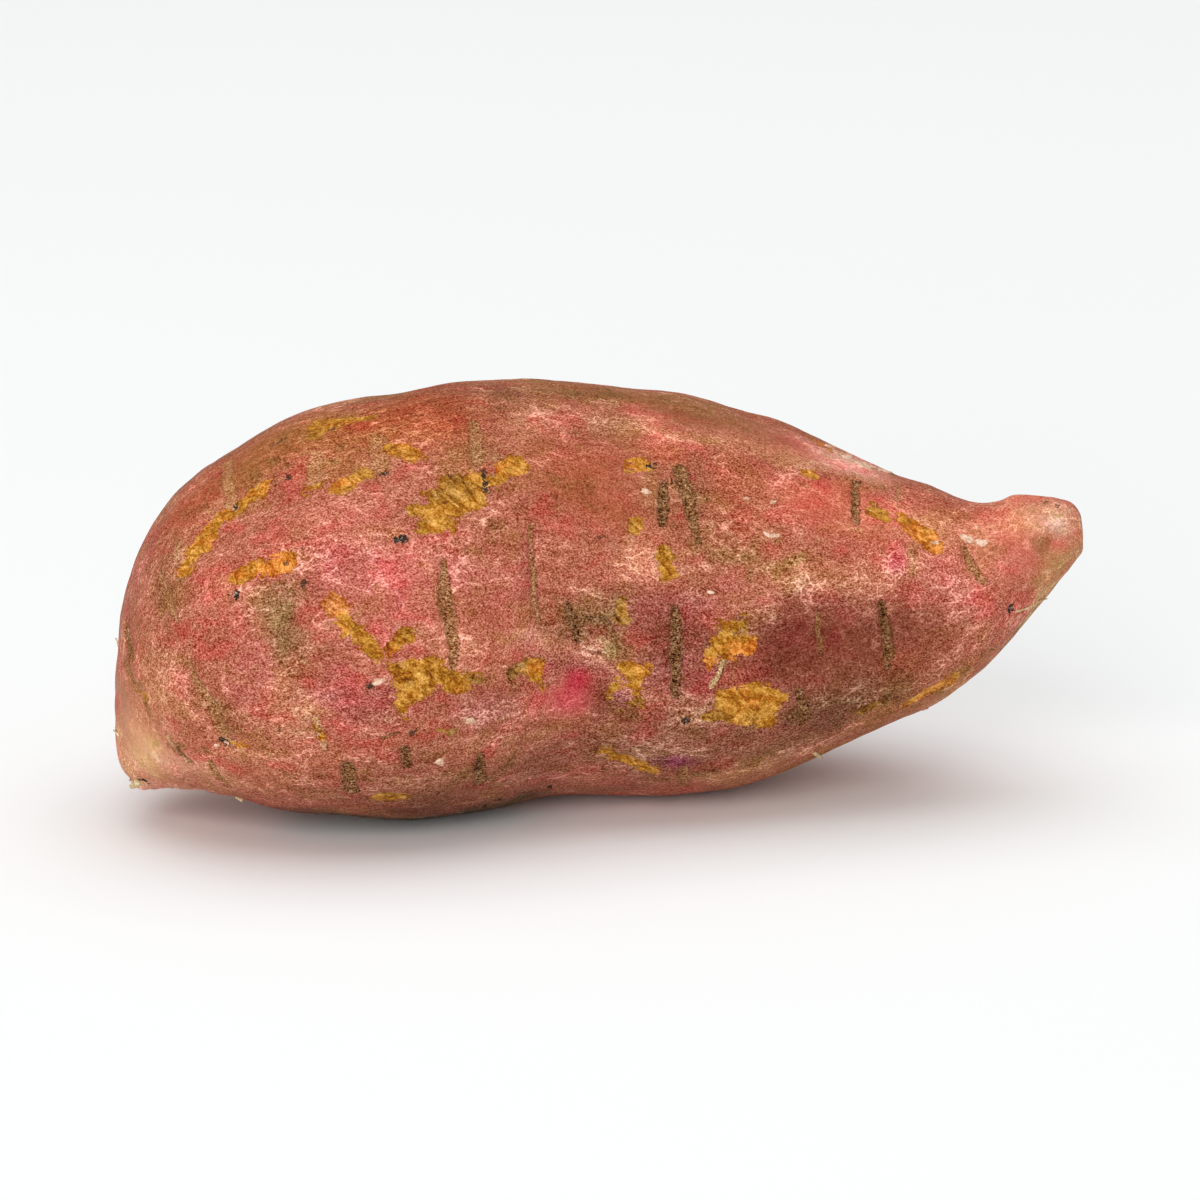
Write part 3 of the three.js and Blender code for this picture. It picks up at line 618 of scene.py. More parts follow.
# Slits and pits are narrower than the mesh is fine, so each point near one keeps its place beside it: how far across
# it, how far past its end, and its half width there. These change evenly, so they stay true between the points.
def besideStroke(points, moved, normals, found, widths):
    reach = markEdges["beside"]
    place = np.tile(markEdges["far"], (len(points), 1))
    best = np.full(len(points), reach)
    if len(found) == 1:
        found, widths = found * 2, widths * 2
    for a, b, widthA, widthB in zip(found[:-1], found[1:], widths[:-1], widths[1:]):
        step = points[b] - points[a]
        if np.linalg.norm(step) < 0.01:
            step = np.array([0.3, 0, 1.0])
        sideways = np.cross(step, normals[a])
        sideways /= np.linalg.norm(sideways)
        heading = np.cross(normals[a], sideways)
        length = (points[b] - points[a]) @ heading
        wide = reach + max(widthA, widthB) + 1
        low = np.minimum(points[a], points[b]) - wide
        high = np.maximum(points[a], points[b]) + wide
        near = np.nonzero(((moved > low) & (moved < high)).all(axis=1))[0]
        offset = moved[near] - points[a]
        run = offset @ heading
        inside = np.clip(run, 0, length)
        half = widthA + (widthB - widthA) * inside / max(length, 0.01)
        across = offset @ sideways
        gap = np.hypot(across, run - inside) - half
        better = gap < best[near]
        place[near[better]] = np.column_stack([across, run - inside, half])[better]
        best[near[better]] = gap[better]
    return place, best


# For rubbed patches and chips a distance in millimetres from the edge, below 0 inside, and for slits and pits the
# place beside the nearest one, with the tone or strength that goes with it.
def markFields(points, normals):
    furthest = markEdges["furthest"]
    loose = wander(points, markEdges["loose"], 60)
    tight = wander(points, markEdges["tight"], 66)
    fields = {kind: np.full(len(points), furthest) for kind in ("rubbed", "chips")}
    gaps = {kind: np.full(len(points), markEdges["beside"]) for kind in ("slits", "pits")}
    places = {kind: np.tile(markEdges["far"], (len(points), 1)) for kind in gaps}
    fields["tone"] = np.full(len(points), 0.5)
    fields["strength"] = np.full(len(points), 0.5)
    for front, table in ((True, marks), (False, backMarks())):
        for kind, strokes in table.items():
            led = {"rubbed": "tone", "slits": "strength"}.get(kind)
            for stroke in strokes:
                spots = stroke[1:] if led else stroke
                if kind in places:
                    found = nearestShown(points, normals, spots, front)
                    place, gap = besideStroke(points, tight, normals, found, [spot[2] for spot in spots])
                    closer = gap < gaps[kind]
                    places[kind][closer] = place[closer]
                    gaps[kind][closer] = gap[closer]
                else:
                    distance = strokeDistance(loose, onSkin(points, normals, spots, front), furthest)
                    closer = distance < fields[kind]
                    fields[kind] = np.minimum(fields[kind], distance)
                if led:
                    fields[led][closer] = stroke[0]
    return fields, gaps, places


# How strongly a soft patch covers each point: a bell curve, flat on top, of the distance from its spot on the skin,
# measured as shares of its reach along, across and into the root. A small patch wanders less than a large one.
def softPatch(points, moved, normals, patch, front):
    along, height, reachAlong, reachAcross, lean = patch[:5]
    spot = points[nearestShown(points, normals, [[along, height]], front)[0]]
    moved = points + (moved - points) * min(1, reachAcross / 5)
    a, b = fromMiddle(moved, spot[0], spot[2], lean)
    depth = moved[:, 1] - spot[1]
    away = (a / reachAlong) ** 2 + (b / reachAcross) ** 2 + (depth / max(reachAcross, 7)) ** 2
    return np.exp(-away ** 1.3)


# The broad colour: each patch in turn moves what lies under it towards its own tone, by its cover and strength.
# Veils of one kind add up as what they leave bare, multiplied.
def paintTones(points, normals):
    moved = wander(points, [[9, 2.6], [3.6, 1.3]], 90)
    colour = np.tile(np.array(tones["palette"]["rose"], float), (len(points), 1))
    for front in (True, False):
        for patch in tones["front" if front else "back"]:
            weight = patch[6] * softPatch(points, moved, normals, patch, front)
            colour += (np.array(tones["palette"][patch[5]]) - colour) * weight[:, None]
    cover = {}
    for kind, sides in veils.items():
        bare = np.ones(len(points))
        for side, patches in sides.items():
            for patch in patches:
                bare *= 1 - patch[5] * softPatch(points, moved, normals, patch, side == "front")
        cover[kind] = 1 - bare
    return colour / 255, cover


# Turns the outline's frame level, round the line along the root, by the angle that it is seen from.
def turnLevel(vectors):
    angle = math.radians(root["outlineElevation"])
    y = vectors[:, 1] * math.cos(angle) + vectors[:, 2] * math.sin(angle)
    z = vectors[:, 2] * math.cos(angle) - vectors[:, 1] * math.sin(angle)
    return np.column_stack([vectors[:, 0], y, z])


# The move that puts the level root in the middle of the CAD node's box, with its top at the box's top.
def shiftToNode(points):
    low, high = [np.array(corner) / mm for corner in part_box(rootName)]
    level = turnLevel(points)
    shift = (low + high) / 2 - (level.min(axis=0) + level.max(axis=0)) / 2
    shift[2] = high[2] - level[:, 2].max()
    return shift


# A piece from points in the outline's frame, turned level, moved to the node and kept inside the node's box.
def makeObject(name, points, faces, shift):
    low, high = [np.array(corner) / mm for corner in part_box(rootName)]
    level = np.clip(turnLevel(points) + shift, low, high)
    mesh = bpy.data.meshes.new(name)
    mesh.from_pydata((level * mm).tolist(), [], faces)
    mesh.shade_smooth()
    piece = bpy.data.objects.new(name, mesh)
    bpy.context.collection.objects.link(piece)
    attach(piece, "root")
    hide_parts(rootName)
    return piece


# Quads round a closed grid of rings, with a fan to one point at each end.
def gridFaces(ringCount, sideCount):
    ring, side = np.meshgrid(np.arange(ringCount - 1), np.arange(sideCount), indexing="ij")
    following = (side + 1) % sideCount
    quads = np.stack([ring * sideCount + side, ring * sideCount + following,
                      (ring + 1) * sideCount + following, (ring + 1) * sideCount + side], axis=-1).reshape(-1, 4)
    edge = np.arange(sideCount)
    first = ringCount * sideCount
    last = (ringCount - 1) * sideCount
    startFan = np.column_stack([np.full(sideCount, first), (edge + 1) % sideCount, edge])
    endFan = np.column_stack([np.full(sideCount, first + 1), last + edge, last + (edge + 1) % sideCount])
    return quads.tolist() + startFan.tolist() + endFan.tolist()


# How the marks are carved into the skin, in millimetres.
carving = {
    "rubbed": {"depth": 0.24, "uneven": 0.1, "soft": 0.8},
    "slits": {"depth": 0.42, "uneven": 0.2, "soft": 0.8},
    "pits": {"depth": 0.45, "uneven": 0, "soft": 0.5},
    "slitLip": {"lift": 0.22, "away": 0.6, "reach": 0.5},
    "roughSize": 0.9,
    "endFade": 60,  # the relief fades out over one part in this many of the run, at both ends
}


# The skin: the root's form with lumps of noise on it, stretched along the fibres, and the marks carved in. A rubbed
# patch, slit or pit is a step down with a soft edge, and a slit has a low lip, which is a bell curve of the distance.
def makeSkin():
    points, normals, fibre, shape, run = shapeRoot()
    shift = shiftToNode(points)
    fields, gaps, places = markFields(points, normals)
    colour, cover = paintTones(points, normals)
    fields.update(cover)
    print("marks placed on", len(points), "points")

    lift = np.full(len(points), -root["inset"])
    for index, (sizeAlong, sizeAcross, rise) in enumerate(root["lumps"]):
        stretched = fibre / np.array([sizeAlong, sizeAcross, sizeAcross])
        lift += rise * softNoise(stretched + 17.3 * index, index + 1)
    rough = softNoise(fibre / carving["roughSize"], 31)
    for kind, gap, share in (
        ("rubbed", fields["rubbed"], 1), ("slits", gaps["slits"], fields["strength"]), ("pits", gaps["pits"], 1),
    ):
        cut = carving[kind]
        lift -= share * np.clip(0.5 - gap / cut["soft"], 0, 1) * (cut["depth"] + cut["uneven"] * rough)
    lip = carving["slitLip"]
    beside = np.exp(-((gaps["slits"] - lip["away"]) / lip["reach"]) ** 2)
    lift += np.maximum(fields["strength"], 0) * lip["lift"] * beside
    fade = np.minimum(1, np.minimum(run, 1 - run) * carving["endFade"])
    points = points + normals * (lift * fade)[:, None]

    ringCount, sideCount = shape[:2]

    # each end is closed by one point, which has the mean of its ring's values
    def withEnds(values):
        values = np.asarray(values, float).reshape(len(points), -1)
        return np.concatenate([values, values[:sideCount].mean(axis=0)[None], values[-sideCount:].mean(axis=0)[None]])

    skin = makeObject("sweet_potato_skin", withEnds(points), gridFaces(ringCount, sideCount), shift)
    mesh = skin.data
    for kind, values in fields.items():
        attribute = mesh.attributes.new(kind, "FLOAT", "POINT")
        attribute.data.foreach_set("value", withEnds(values).ravel().astype(np.float32))
    for kind, values in {**places, "fibre": fibre * mm}.items():
        attribute = mesh.attributes.new(kind, "FLOAT_VECTOR", "POINT")
        attribute.data.foreach_set("vector", withEnds(values).ravel().astype(np.float32))
    attribute = mesh.attributes.new("broadColour", "FLOAT_COLOR", "POINT")
    rgba = np.column_stack([withEnds(colour), np.ones(len(points) + 2)])
    attribute.data.foreach_set("color", rgba.ravel().astype(np.float32))
    print("skin made:", len(mesh.polygons), "faces")
    return skin, points, normals, shift


# Cream flakes, in millimetres and as shares of each flake's own size.
flakes = {
    "seed": 7,
    "sides": 11,
    "cornerLeast": 0.55, "cornerSpread": 0.75,
    "long": (1.0, 1.5), "wide": (0.5, 1.0),
    "slant": 0.5, "tilt": 0.12, "uneven": 0.05,
    "rings": ((1.0, -0.25), (1.0, 0.05), (0.8, 0.12)),  # share of the width, and height above the skin
    "under": 0.3, "crown": 0.1,
}


# Small crowned plates: rings of an ellipse with uneven corners, laid along the skin from a little under it upwards.
def makeFlakes(points, normals, shift):
    rng = np.random.default_rng(flakes["seed"])
    sides = flakes["sides"]
    allPoints, allFaces = [], []
    for front, strokes in ((True, marks["chips"]), (False, backMarks()["chips"])):
        for stroke in strokes:
            for index, spot in zip(nearestShown(points, normals, stroke, front), stroke):
                normal = normals[index]
                first = np.cross([0, 0, 1.0], normal)
                first /= np.linalg.norm(first)
                second = np.cross(normal, first)
                turn = np.linspace(0, 2 * math.pi, sides, endpoint=False)
                slant = rng.uniform(-flakes["slant"], flakes["slant"])
                size = spot[2] * (flakes["cornerLeast"] + flakes["cornerSpread"] * rng.random(sides))
                long = size * np.cos(turn) * rng.uniform(*flakes["long"])
                wide = size * np.sin(turn) * rng.uniform(*flakes["wide"])
                a = long * math.cos(slant) - wide * math.sin(slant)
                b = long * math.sin(slant) + wide * math.cos(slant)
                tilt = rng.uniform(-flakes["tilt"], flakes["tilt"])
                flat = a[:, None] * first + b[:, None] * second
                rings = []
                for share, height in flakes["rings"]:
                    raised = height + tilt * a / spot[2] + flakes["uneven"] * rng.uniform(-1, 1, sides) * (height > 0)
                    rings.append(points[index] + share * flat + raised[:, None] * normal)
                ends = [points[index] - flakes["under"] * normal, points[index] + flakes["crown"] * normal]
                start = sum(len(part) for part in allPoints)
                allPoints.append(np.vstack([*rings, ends]))
                allFaces += [[corner + start for corner in face] for face in gridFaces(3, sides)]
    piece = makeObject("sweet_potato_flakes", np.vstack(allPoints), allFaces, shift)
    print("flakes made:", len(piece.data.polygons), "faces")
    return piece


# Thin root hairs and broken stubs, in millimetres.
rootlets = {
    "sides": 10,
    "steps": 9,
    "sunk": 0.3,  # how far the root of a hair lies in the skin, as a share of its half width
    "tip": 0.4,  # how far each end's middle stands out, as a share of its half width
    # [half width, half width at the tip, lift of the tip, points as along and height]
    "hairs": [
        [0.24, 0.1, 0.3, [72.6, 36.6], [74.0, 36.9], [75.4, 37.6], [76.8, 38.4], [78.0, 38.9]],
        [0.9, 0.5, 0.5, [-80.6, 6.8], [-81.2, 6.4], [-81.9, 6.0]],
        [0.22, 0.1, 0.5, [-84.2, 14.5], [-84.5, 15.2], [-84.8, 15.9]],
        [0.5, 0.3, 0.4, [-63.6, 3.6], [-63.2, 3.2], [-62.8, 2.9]],
        [0.45, 0.25, 0.4, [37.4, 11.8], [37.9, 11.4], [38.4, 11.2]],
        [0.25, 0.12, 0.5, [-84.6, 30.4], [-84.7, 31.1], [-84.8, 31.8]],
    ],
}


# Tapered tubes: circles carried along a smooth path that starts in the skin and rises off it with the 1.5th power of
# the share of the way to the tip.
def makeRootlets(points, normals, shift):
    sides, steps = rootlets["sides"], rootlets["steps"]
    allPoints, allFaces = [], []
    for width, tipWidth, lift, *spots in rootlets["hairs"]:
        found = nearestShown(points, normals, spots, True)
        along = np.linspace(0, 1, steps)
        rise = lift * along ** 1.5 - width * rootlets["sunk"] * (1 - along)
        path = smoothThrough(points[found], along) + rise[:, None] * smoothThrough(normals[found], along)
        heading = np.gradient(path, axis=0)
        heading /= np.linalg.norm(heading, axis=1)[:, None]
        normal = normals[found[0]]
        sideways = np.cross(heading, normal)
        sideways /= np.linalg.norm(sideways, axis=1)[:, None]
        up = np.cross(sideways, heading)
        turn = np.linspace(0, 2 * math.pi, sides, endpoint=False)
        radius = width + (tipWidth - width) * along
        circle = np.cos(turn)[None, :, None] * sideways[:, None, :] + np.sin(turn)[None, :, None] * up[:, None, :]
        rings = path[:, None, :] + radius[:, None, None] * circle
        tip = rootlets["tip"]
        ends = [path[0] - heading[0] * width * tip, path[-1] + heading[-1] * tipWidth * tip]
        start = sum(len(part) for part in allPoints)
        allPoints.append(np.vstack([rings.reshape(-1, 3), ends]))
        allFaces += [[corner + start for corner in face] for face in gridFaces(steps, sides)]
    piece = makeObject("sweet_potato_rootlets", np.vstack(allPoints), allFaces, shift)
    print("rootlets made:", len(piece.data.polygons), "faces")
    return piece


# Nodes are placed by one call each: links and values go in by socket name or number.
def addNode(tree, kind, inputs=None, **settings):
    node = tree.nodes.new(kind)
    for name, value in settings.items():
        setattr(node, name, value)
    for name, value in (inputs or {}).items():
        if isinstance(value, bpy.types.NodeSocket):
            tree.links.new(value, node.inputs[name])
        else:
            node.inputs[name].default_value = value
    return node


# One step of arithmetic on values.
def calc(tree, operation, a, b=0.0, c=0.0):
    return addNode(tree, "ShaderNodeMath", {0: a, 1: b, 2: c}, operation=operation).outputs[0]


# All the parts added up.
def total(tree, *parts):
    result = parts[0]
    for part in parts[1:]:
        result = calc(tree, "ADD", result, part)
    return result


# All the parts multiplied.
def product(tree, *parts):
    result = parts[0]
    for part in parts[1:]:
        result = calc(tree, "MULTIPLY", result, part)
    return result


# One colour over another, by an amount from 0 to 1.
def blend(tree, amount, under, over, mode="MIX"):
    node = addNode(tree, "ShaderNodeMix", {0: amount, 6: under, 7: over}, data_type="RGBA", blend_type=mode)
    return node.outputs[2]


# A smooth step from one level to another while a value goes from low to high, and level past both.
def ramp(tree, value, low, high, toLow=0.0, toHigh=1.0):
    values = {"Value": value, "From Min": low, "From Max": high, "To Min": toLow, "To Max": toHigh}
    return addNode(tree, "ShaderNodeMapRange", values, interpolation_type="SMOOTHSTEP").outputs["Result"]


# Fractal noise from 0 to 1, about one over the scale across, in metres.
def noise(tree, vector, scale, detail=2.0, roughness=0.5, distortion=0.0):
    values = {"Vector": vector, "Scale": scale, "Detail": detail, "Roughness": roughness, "Distortion": distortion}
    return addNode(tree, "ShaderNodeTexNoise", values).outputs["Fac"]


# Coordinates for a pattern that is drawn out where the scale is below 1, then turned and moved.
def stretch(tree, vector, scale, turn=0.0, move=0.0):
    values = {"Vector": vector, "Rotation": (0.0, turn, 0.0), "Scale": scale, "Location": (move, move, move)}
    return addNode(tree, "ShaderNodeMapping", values).outputs["Vector"]


# As stretch, but along a slant: the turn comes first.
def slant(tree, vector, size, turn):
    values = {"Vector": vector, "Rotation": (0.0, turn, 0.0), "Scale": size}
    return addNode(tree, "ShaderNodeMapping", values, vector_type="TEXTURE").outputs["Vector"]


# 1 where a value is near a middle, falling to 0 at a reach on both sides.
def band(tree, value, middle, reach):
    return ramp(tree, calc(tree, "ABSOLUTE", calc(tree, "SUBTRACT", value, middle)), reach, 0.0)


# Adds grey to a colour: the same step of brightness in each of its parts.
def lighten(tree, colour, amount):
    return blend(tree, 1.0, colour, amount, "ADD")


# A value part of the way from low to high.
def between(tree, share, low, high):
    return calc(tree, "MULTIPLY_ADD", calc(tree, "SUBTRACT", high, low), share, low)


# A colour as it looks, from 0 to 255, for the mixing in a material.
def shown(colour):
    return (*[part / 255 for part in colour], 1.0)


# A new node group, with its named inputs and outputs.
def startGroup(name, inputs, outputs):
    tree = bpy.data.node_groups.new(name, "ShaderNodeTree")
    for label, kind, value in inputs:
        socket = tree.interface.new_socket(label, in_out="INPUT", socket_type=kind)
        if value is not None:
            socket.default_value = value
    for label, kind in outputs:
        tree.interface.new_socket(label, in_out="OUTPUT", socket_type=kind)
    return tree, tree.nodes.new("NodeGroupInput").outputs, tree.nodes.new("NodeGroupOutput")


# A mask from a distance in millimetres: 1 inside the mark and 0 outside, with its edge moved in and out by noise.
def makeRaggedMark():
    tree, given, result = startGroup(
        "raggedMark",
        [("Distance", "NodeSocketFloat", 1.0), ("Noise", "NodeSocketFloat", 0.5), ("Ragged", "NodeSocketFloat", 1.0),
         ("Soft", "NodeSocketFloat", 0.25)],
        [("Mask", "NodeSocketFloat")])
    moved = product(tree, calc(tree, "SUBTRACT", given["Noise"], 0.5), given["Ragged"])
    distance = total(tree, given["Distance"], moved)
    low = product(tree, given["Soft"], -1.0)
    tree.links.new(ramp(tree, distance, low, given["Soft"], 1.0, 0.0), result.inputs["Mask"])
    return tree


# From a place beside a mark, the distance from its edge, below 0 inside, and how far across it.
def makeBesideMark():
    tree, given, result = startGroup("besideMark", [("Place", "NodeSocketVector", None)],
                                     [("Distance", "NodeSocketFloat"), ("Across", "NodeSocketFloat")])
    across, past, half = addNode(tree, "ShaderNodeSeparateXYZ", {0: given["Place"]}).outputs
    away = calc(tree, "SQRT", total(tree, product(tree, across, across), product(tree, past, past)))
    tree.links.new(calc(tree, "SUBTRACT", away, half), result.inputs["Distance"])
    tree.links.new(across, result.inputs["Across"])
    return tree


# Fine salt-and-pepper grain: a light mask and a dark mask from two sizes of noise. Bloom adds light grains and calm
# takes both away.
def makeFineGrain():
    tree, given, result = startGroup(
        "fineGrain",
        [("Vector", "NodeSocketVector", None), ("Bloom", "NodeSocketFloat", 0.0), ("Calm", "NodeSocketFloat", 0.0)],
        [("Light", "NodeSocketFloat"), ("Dark", "NodeSocketFloat")])
    fine = noise(tree, stretch(tree, given["Vector"], (0.75, 1.0, 1.0)), 3900.0, 1.0, 0.6)
    coarse = noise(tree, stretch(tree, given["Vector"], (0.5, 1.0, 1.0)), 1700.0, 3.0, 0.72)
    mixed = total(tree, product(tree, fine, 0.7), product(tree, coarse, 0.3))
    lighter = total(tree, mixed, product(tree, given["Bloom"], 0.04))
    lively = calc(tree, "MULTIPLY_ADD", given["Calm"], -0.9, 1.0)
    tree.links.new(product(tree, ramp(tree, lighter, 0.50, 0.62), lively), result.inputs["Light"])
    tree.links.new(product(tree, ramp(tree, mixed, 0.49, 0.37), lively), result.inputs["Dark"])
    return tree


# Thin pale lines: a net of stretched cells whose edges wander, and ridges of stretched noise between them.
def makeFibreLines():
    tree, given, result = startGroup("fibreLines", [("Vector", "NodeSocketVector", None)],
                                     [("Lines", "NodeSocketFloat")])
    bends = {"Vector": given["Vector"], "Scale": 420.0, "Detail": 3.0}
    bend = addNode(tree, "ShaderNodeTexNoise", bends).outputs["Color"]
    centred = addNode(tree, "ShaderNodeVectorMath", {0: bend, 1: (0.5, 0.5, 0.5)}, operation="SUBTRACT").outputs[0]
    offset = addNode(tree, "ShaderNodeVectorMath", {0: centred, "Scale": 0.0032}, operation="SCALE").outputs[0]
    bent = addNode(tree, "ShaderNodeVectorMath", {0: given["Vector"], 1: offset}, operation="ADD").outputs[0]
    cells = addNode(tree, "ShaderNodeTexVoronoi", {"Vector": stretch(tree, bent, (0.26, 1.0, 1.0)), "Scale": 560.0},
                    feature="DISTANCE_TO_EDGE").outputs["Distance"]
    net = ramp(tree, cells, 0.09, 0.01)
    wave = noise(tree, stretch(tree, bent, (0.22, 1.0, 1.0), 0.12), 1200.0, 3.0, 0.65)
    ridge = band(tree, wave, 0.5, 0.022)
    tree.links.new(calc(tree, "MAXIMUM", net, product(tree, ridge, 0.5)), result.inputs["Lines"])
    return tree


# A node group placed in a material, with its own values.
def useGroup(tree, group, inputs):
    return addNode(tree, "ShaderNodeGroup", inputs, node_tree=group).outputs


# How every finish on the root takes light.
finish = {"gamma": 2.2, "bump": 0.5, "specular": 0.15}


# A material with nothing in it yet.
def startMaterial(name):
    material = bpy.data.materials.new(name)
    material.use_nodes = True
    tree = material.node_tree
    tree.nodes.clear()
    return material, tree


# Colours are mixed as they look, and turned into light values here.
def endMaterial(tree, colour, roughness, height):
    colour = addNode(tree, "ShaderNodeGamma", {"Color": colour, "Gamma": finish["gamma"]}).outputs["Color"]
    bump = addNode(tree, "ShaderNodeBump", {"Height": height, "Strength": finish["bump"], "Distance": 1.0})
    shader = addNode(tree, "ShaderNodeBsdfPrincipled", {
        "Base Color": colour, "Roughness": roughness, "Normal": bump.outputs["Normal"],
        "Specular IOR Level": finish["specular"]})
    output = tree.nodes.new("ShaderNodeOutputMaterial")
    tree.links.new(shader.outputs["BSDF"], output.inputs["Surface"])


# Multiplies a colour where a mask covers it, so that what lies under keeps its own hue.
def tinge(tree, amount, colour, tint):
    return blend(tree, amount, colour, (*tint, 1.0), "MULTIPLY")


# The skin's finish: colours as they look, tints that multiply, and how much each effect lightens or darkens.
skinLook = {
    "redder": (1.04, 0.85, 0.9), "yellower": (0.95, 1.0, 0.85), "paler": (1.04, 1.16, 1.2),
    "duller": (0.88, 0.94, 0.78), "overall": (0.925, 0.895, 0.865),
    # slitEdgeShade is painted shade along the edges of the root scars.
    "corkPale": (186, 138, 90), "cork": (140, 100, 62), "strip": (208, 180, 132), "slitEdgeShade": (70, 42, 26),
    "fleshOlive": (142, 100, 40), "fleshGold": (200, 140, 44), "fleshOrange": (230, 140, 50),
    "fleshPeach": (218, 142, 84), "fleshRim": (96, 60, 28),
    "scraped": (218, 168, 138), "chip": (238, 212, 188), "pit": (84, 52, 34), "pitDeep": (44, 32, 24),
    "mottle": 0.28, "streak": 0.2, "lines": 0.25, "grainLight": 0.165, "grainDark": -0.185,
    "dustDark": -0.15, "dustLight": 0.09,
}


# Object coordinates carry the grain and the edges, and the fibre coordinates carry what runs along the root. Each mark
# in turn goes over the colour and the light of what lies under it, and the light is added to the colour at the end.
def makeSkinMaterial(groups):
    look = skinLook
    material, tree = startMaterial("sweet_potato_skin")
    place = tree.nodes.new("ShaderNodeTexCoord").outputs["Object"]
    read = lambda name, socket="Fac": addNode(tree, "ShaderNodeAttribute", None, attribute_name=name).outputs[socket]
    fibre = read("fibre", "Vector")
    dust = read("dust")
    bloom = read("bloom")
    calm = read("calm")
    rubbedEdge = read("rubbed")
    strength = read("strength")
    ragged = noise(tree, place, 420.0, 5.0, 0.68)
    crumbs = noise(tree, place, 1500.0, 2.0, 0.7, 0.4)
    broken = product(tree, total(tree, ragged, crumbs), 0.5)

    def ragMask(distance, reach, soft):
        inputs = {"Distance": distance, "Noise": broken, "Ragged": reach, "Soft": soft}
        return useGroup(tree, groups["raggedMark"], inputs)["Mask"]

    grain = useGroup(tree, groups["fineGrain"], {"Vector": place, "Bloom": bloom, "Calm": calm})
    lines = useGroup(tree, groups["fibreLines"], {"Vector": fibre})["Lines"]

    # the broad colour, redder and yellower in soft patches of about 1 to 6 mm
    hue = noise(tree, stretch(tree, place, (0.7, 1.0, 1.0), 0.0, 0.31), 170.0, 2.0, 0.65, 0.3)
    steady = calc(tree, "MULTIPLY_ADD", calm, -0.75, 1.0)
    colour = read("broadColour", "Color")
    colour = tinge(tree, product(tree, ramp(tree, hue, 0.5, 0.7), steady), colour, look["redder"])
    colour = tinge(tree, product(tree, ramp(tree, hue, 0.5, 0.3), steady), colour, look["yellower"])

    # pale bloom and olive dust in soft patches, with more bloom round the rubbed spots
    dusting = noise(tree, place, 300.0, 2.0, 0.6, 0.2)
    halo = product(tree, ramp(tree, rubbedEdge, 2.6, 0.4), ramp(tree, ragged, 0.4, 0.6))
    pale = total(tree, calc(tree, "SUBTRACT", 1.0, dusting), product(tree, bloom, 0.26), product(tree, halo, 0.22))
    pale = ramp(tree, pale, 0.6, 0.84)
    colour = tinge(tree, pale, colour, look["paler"])
    dusty = ramp(tree, total(tree, dusting, product(tree, dust, 0.3)), 0.58, 0.82)
    colour = tinge(tree, dusty, colour, look["duller"])

    # light and dark at every size, pale lines here and there, and fine grain that is coarser in the dust
    mottle = noise(tree, stretch(tree, fibre, (0.6, 1.0, 1.0)), 150.0, 5.0, 0.75, 0.4)
    streak = noise(tree, stretch(tree, fibre, (0.16, 1.0, 1.0), 0.0, 0.07), 900.0, 4.0, 0.7)
    lineShare = ramp(tree, total(tree, mottle, product(tree, bloom, 0.16)), 0.47, 0.66, 0.12, 1.0)
    light = product(tree, calc(tree, "SUBTRACT", mottle, 0.5), steady, look["mottle"])
    light = total(tree, light, product(tree, calc(tree, "SUBTRACT", streak, 0.5), steady, look["streak"]))
    light = total(tree, light, product(tree, lines, lineShare, steady, look["lines"]))
    light = total(tree, light, product(tree, grain["Light"], look["grainLight"]),
                  product(tree, grain["Dark"], look["grainDark"]))
    light = total(tree, light, product(tree, dusty, ramp(tree, broken, 0.47, 0.39), steady, look["dustDark"]))
    light = total(tree, light, product(tree, dusty, ramp(tree, broken, 0.54, 0.61), steady, look["dustLight"]))

    # root scars: corky and speckled, cracked along the grain, with painted shade along their edges that is darkest on
    # one side; raised strips are pale
    slitPlace = useGroup(tree, groups["besideMark"], {"Place": read("slits", "Vector")})
    away = slitPlace["Distance"]
    slit = ragMask(away, 3.6, 0.16)
    sure = calc(tree, "ABSOLUTE", strength)
    slit = product(tree, slit, ramp(tree, sure, 0.1, 0.9, 0.4, 0.95))
    cork = blend(tree, ramp(tree, strength, 0.4, 1.0), shown(look["corkPale"]), shown(look["cork"]))
    cork = blend(tree, ramp(tree, strength, -0.1, -0.3), cork, shown(look["strip"]))
    crack = noise(tree, stretch(tree, fibre, (0.3, 1.0, 1.0)), 1300.0, 3.0, 0.6, 0.8)
    cracked = product(tree, band(tree, crack, 0.5, 0.04), ramp(tree, away, -0.1, -0.45),
                      ramp(tree, strength, 0.3, 1.0))
    corkLight = total(tree, product(tree, calc(tree, "SUBTRACT", ragged, 0.52), 0.5), product(tree, cracked, -0.25))
    spotted = product(tree, ramp(tree, crumbs, 0.44, 0.34), ramp(tree, strength, 0.2, 0.9))
    corkLight = total(tree, corkLight, product(tree, spotted, -0.25),
                      product(tree, ramp(tree, crumbs, 0.56, 0.68), 0.2))
    corkLight = total(tree, corkLight, product(tree, grain["Light"], 0.2), product(tree, grain["Dark"], -0.2))
    colour = blend(tree, slit, colour, cork)
    light = between(tree, slit, light, corkLight)
    # painted shade in each scar's groove, along its edge and darker on one side
    slitShade = product(tree, band(tree, away, 0.04, 0.28), ramp(tree, ragged, 0.42, 0.56, 0.1, 1.0), sure)
    slitShade = product(tree, slitShade, ramp(tree, slitPlace["Across"], 0.3, -0.3, 0.4, 1.0))
    colour = blend(tree, product(tree, slitShade, 0.55), colour, shown(look["slitEdgeShade"]))

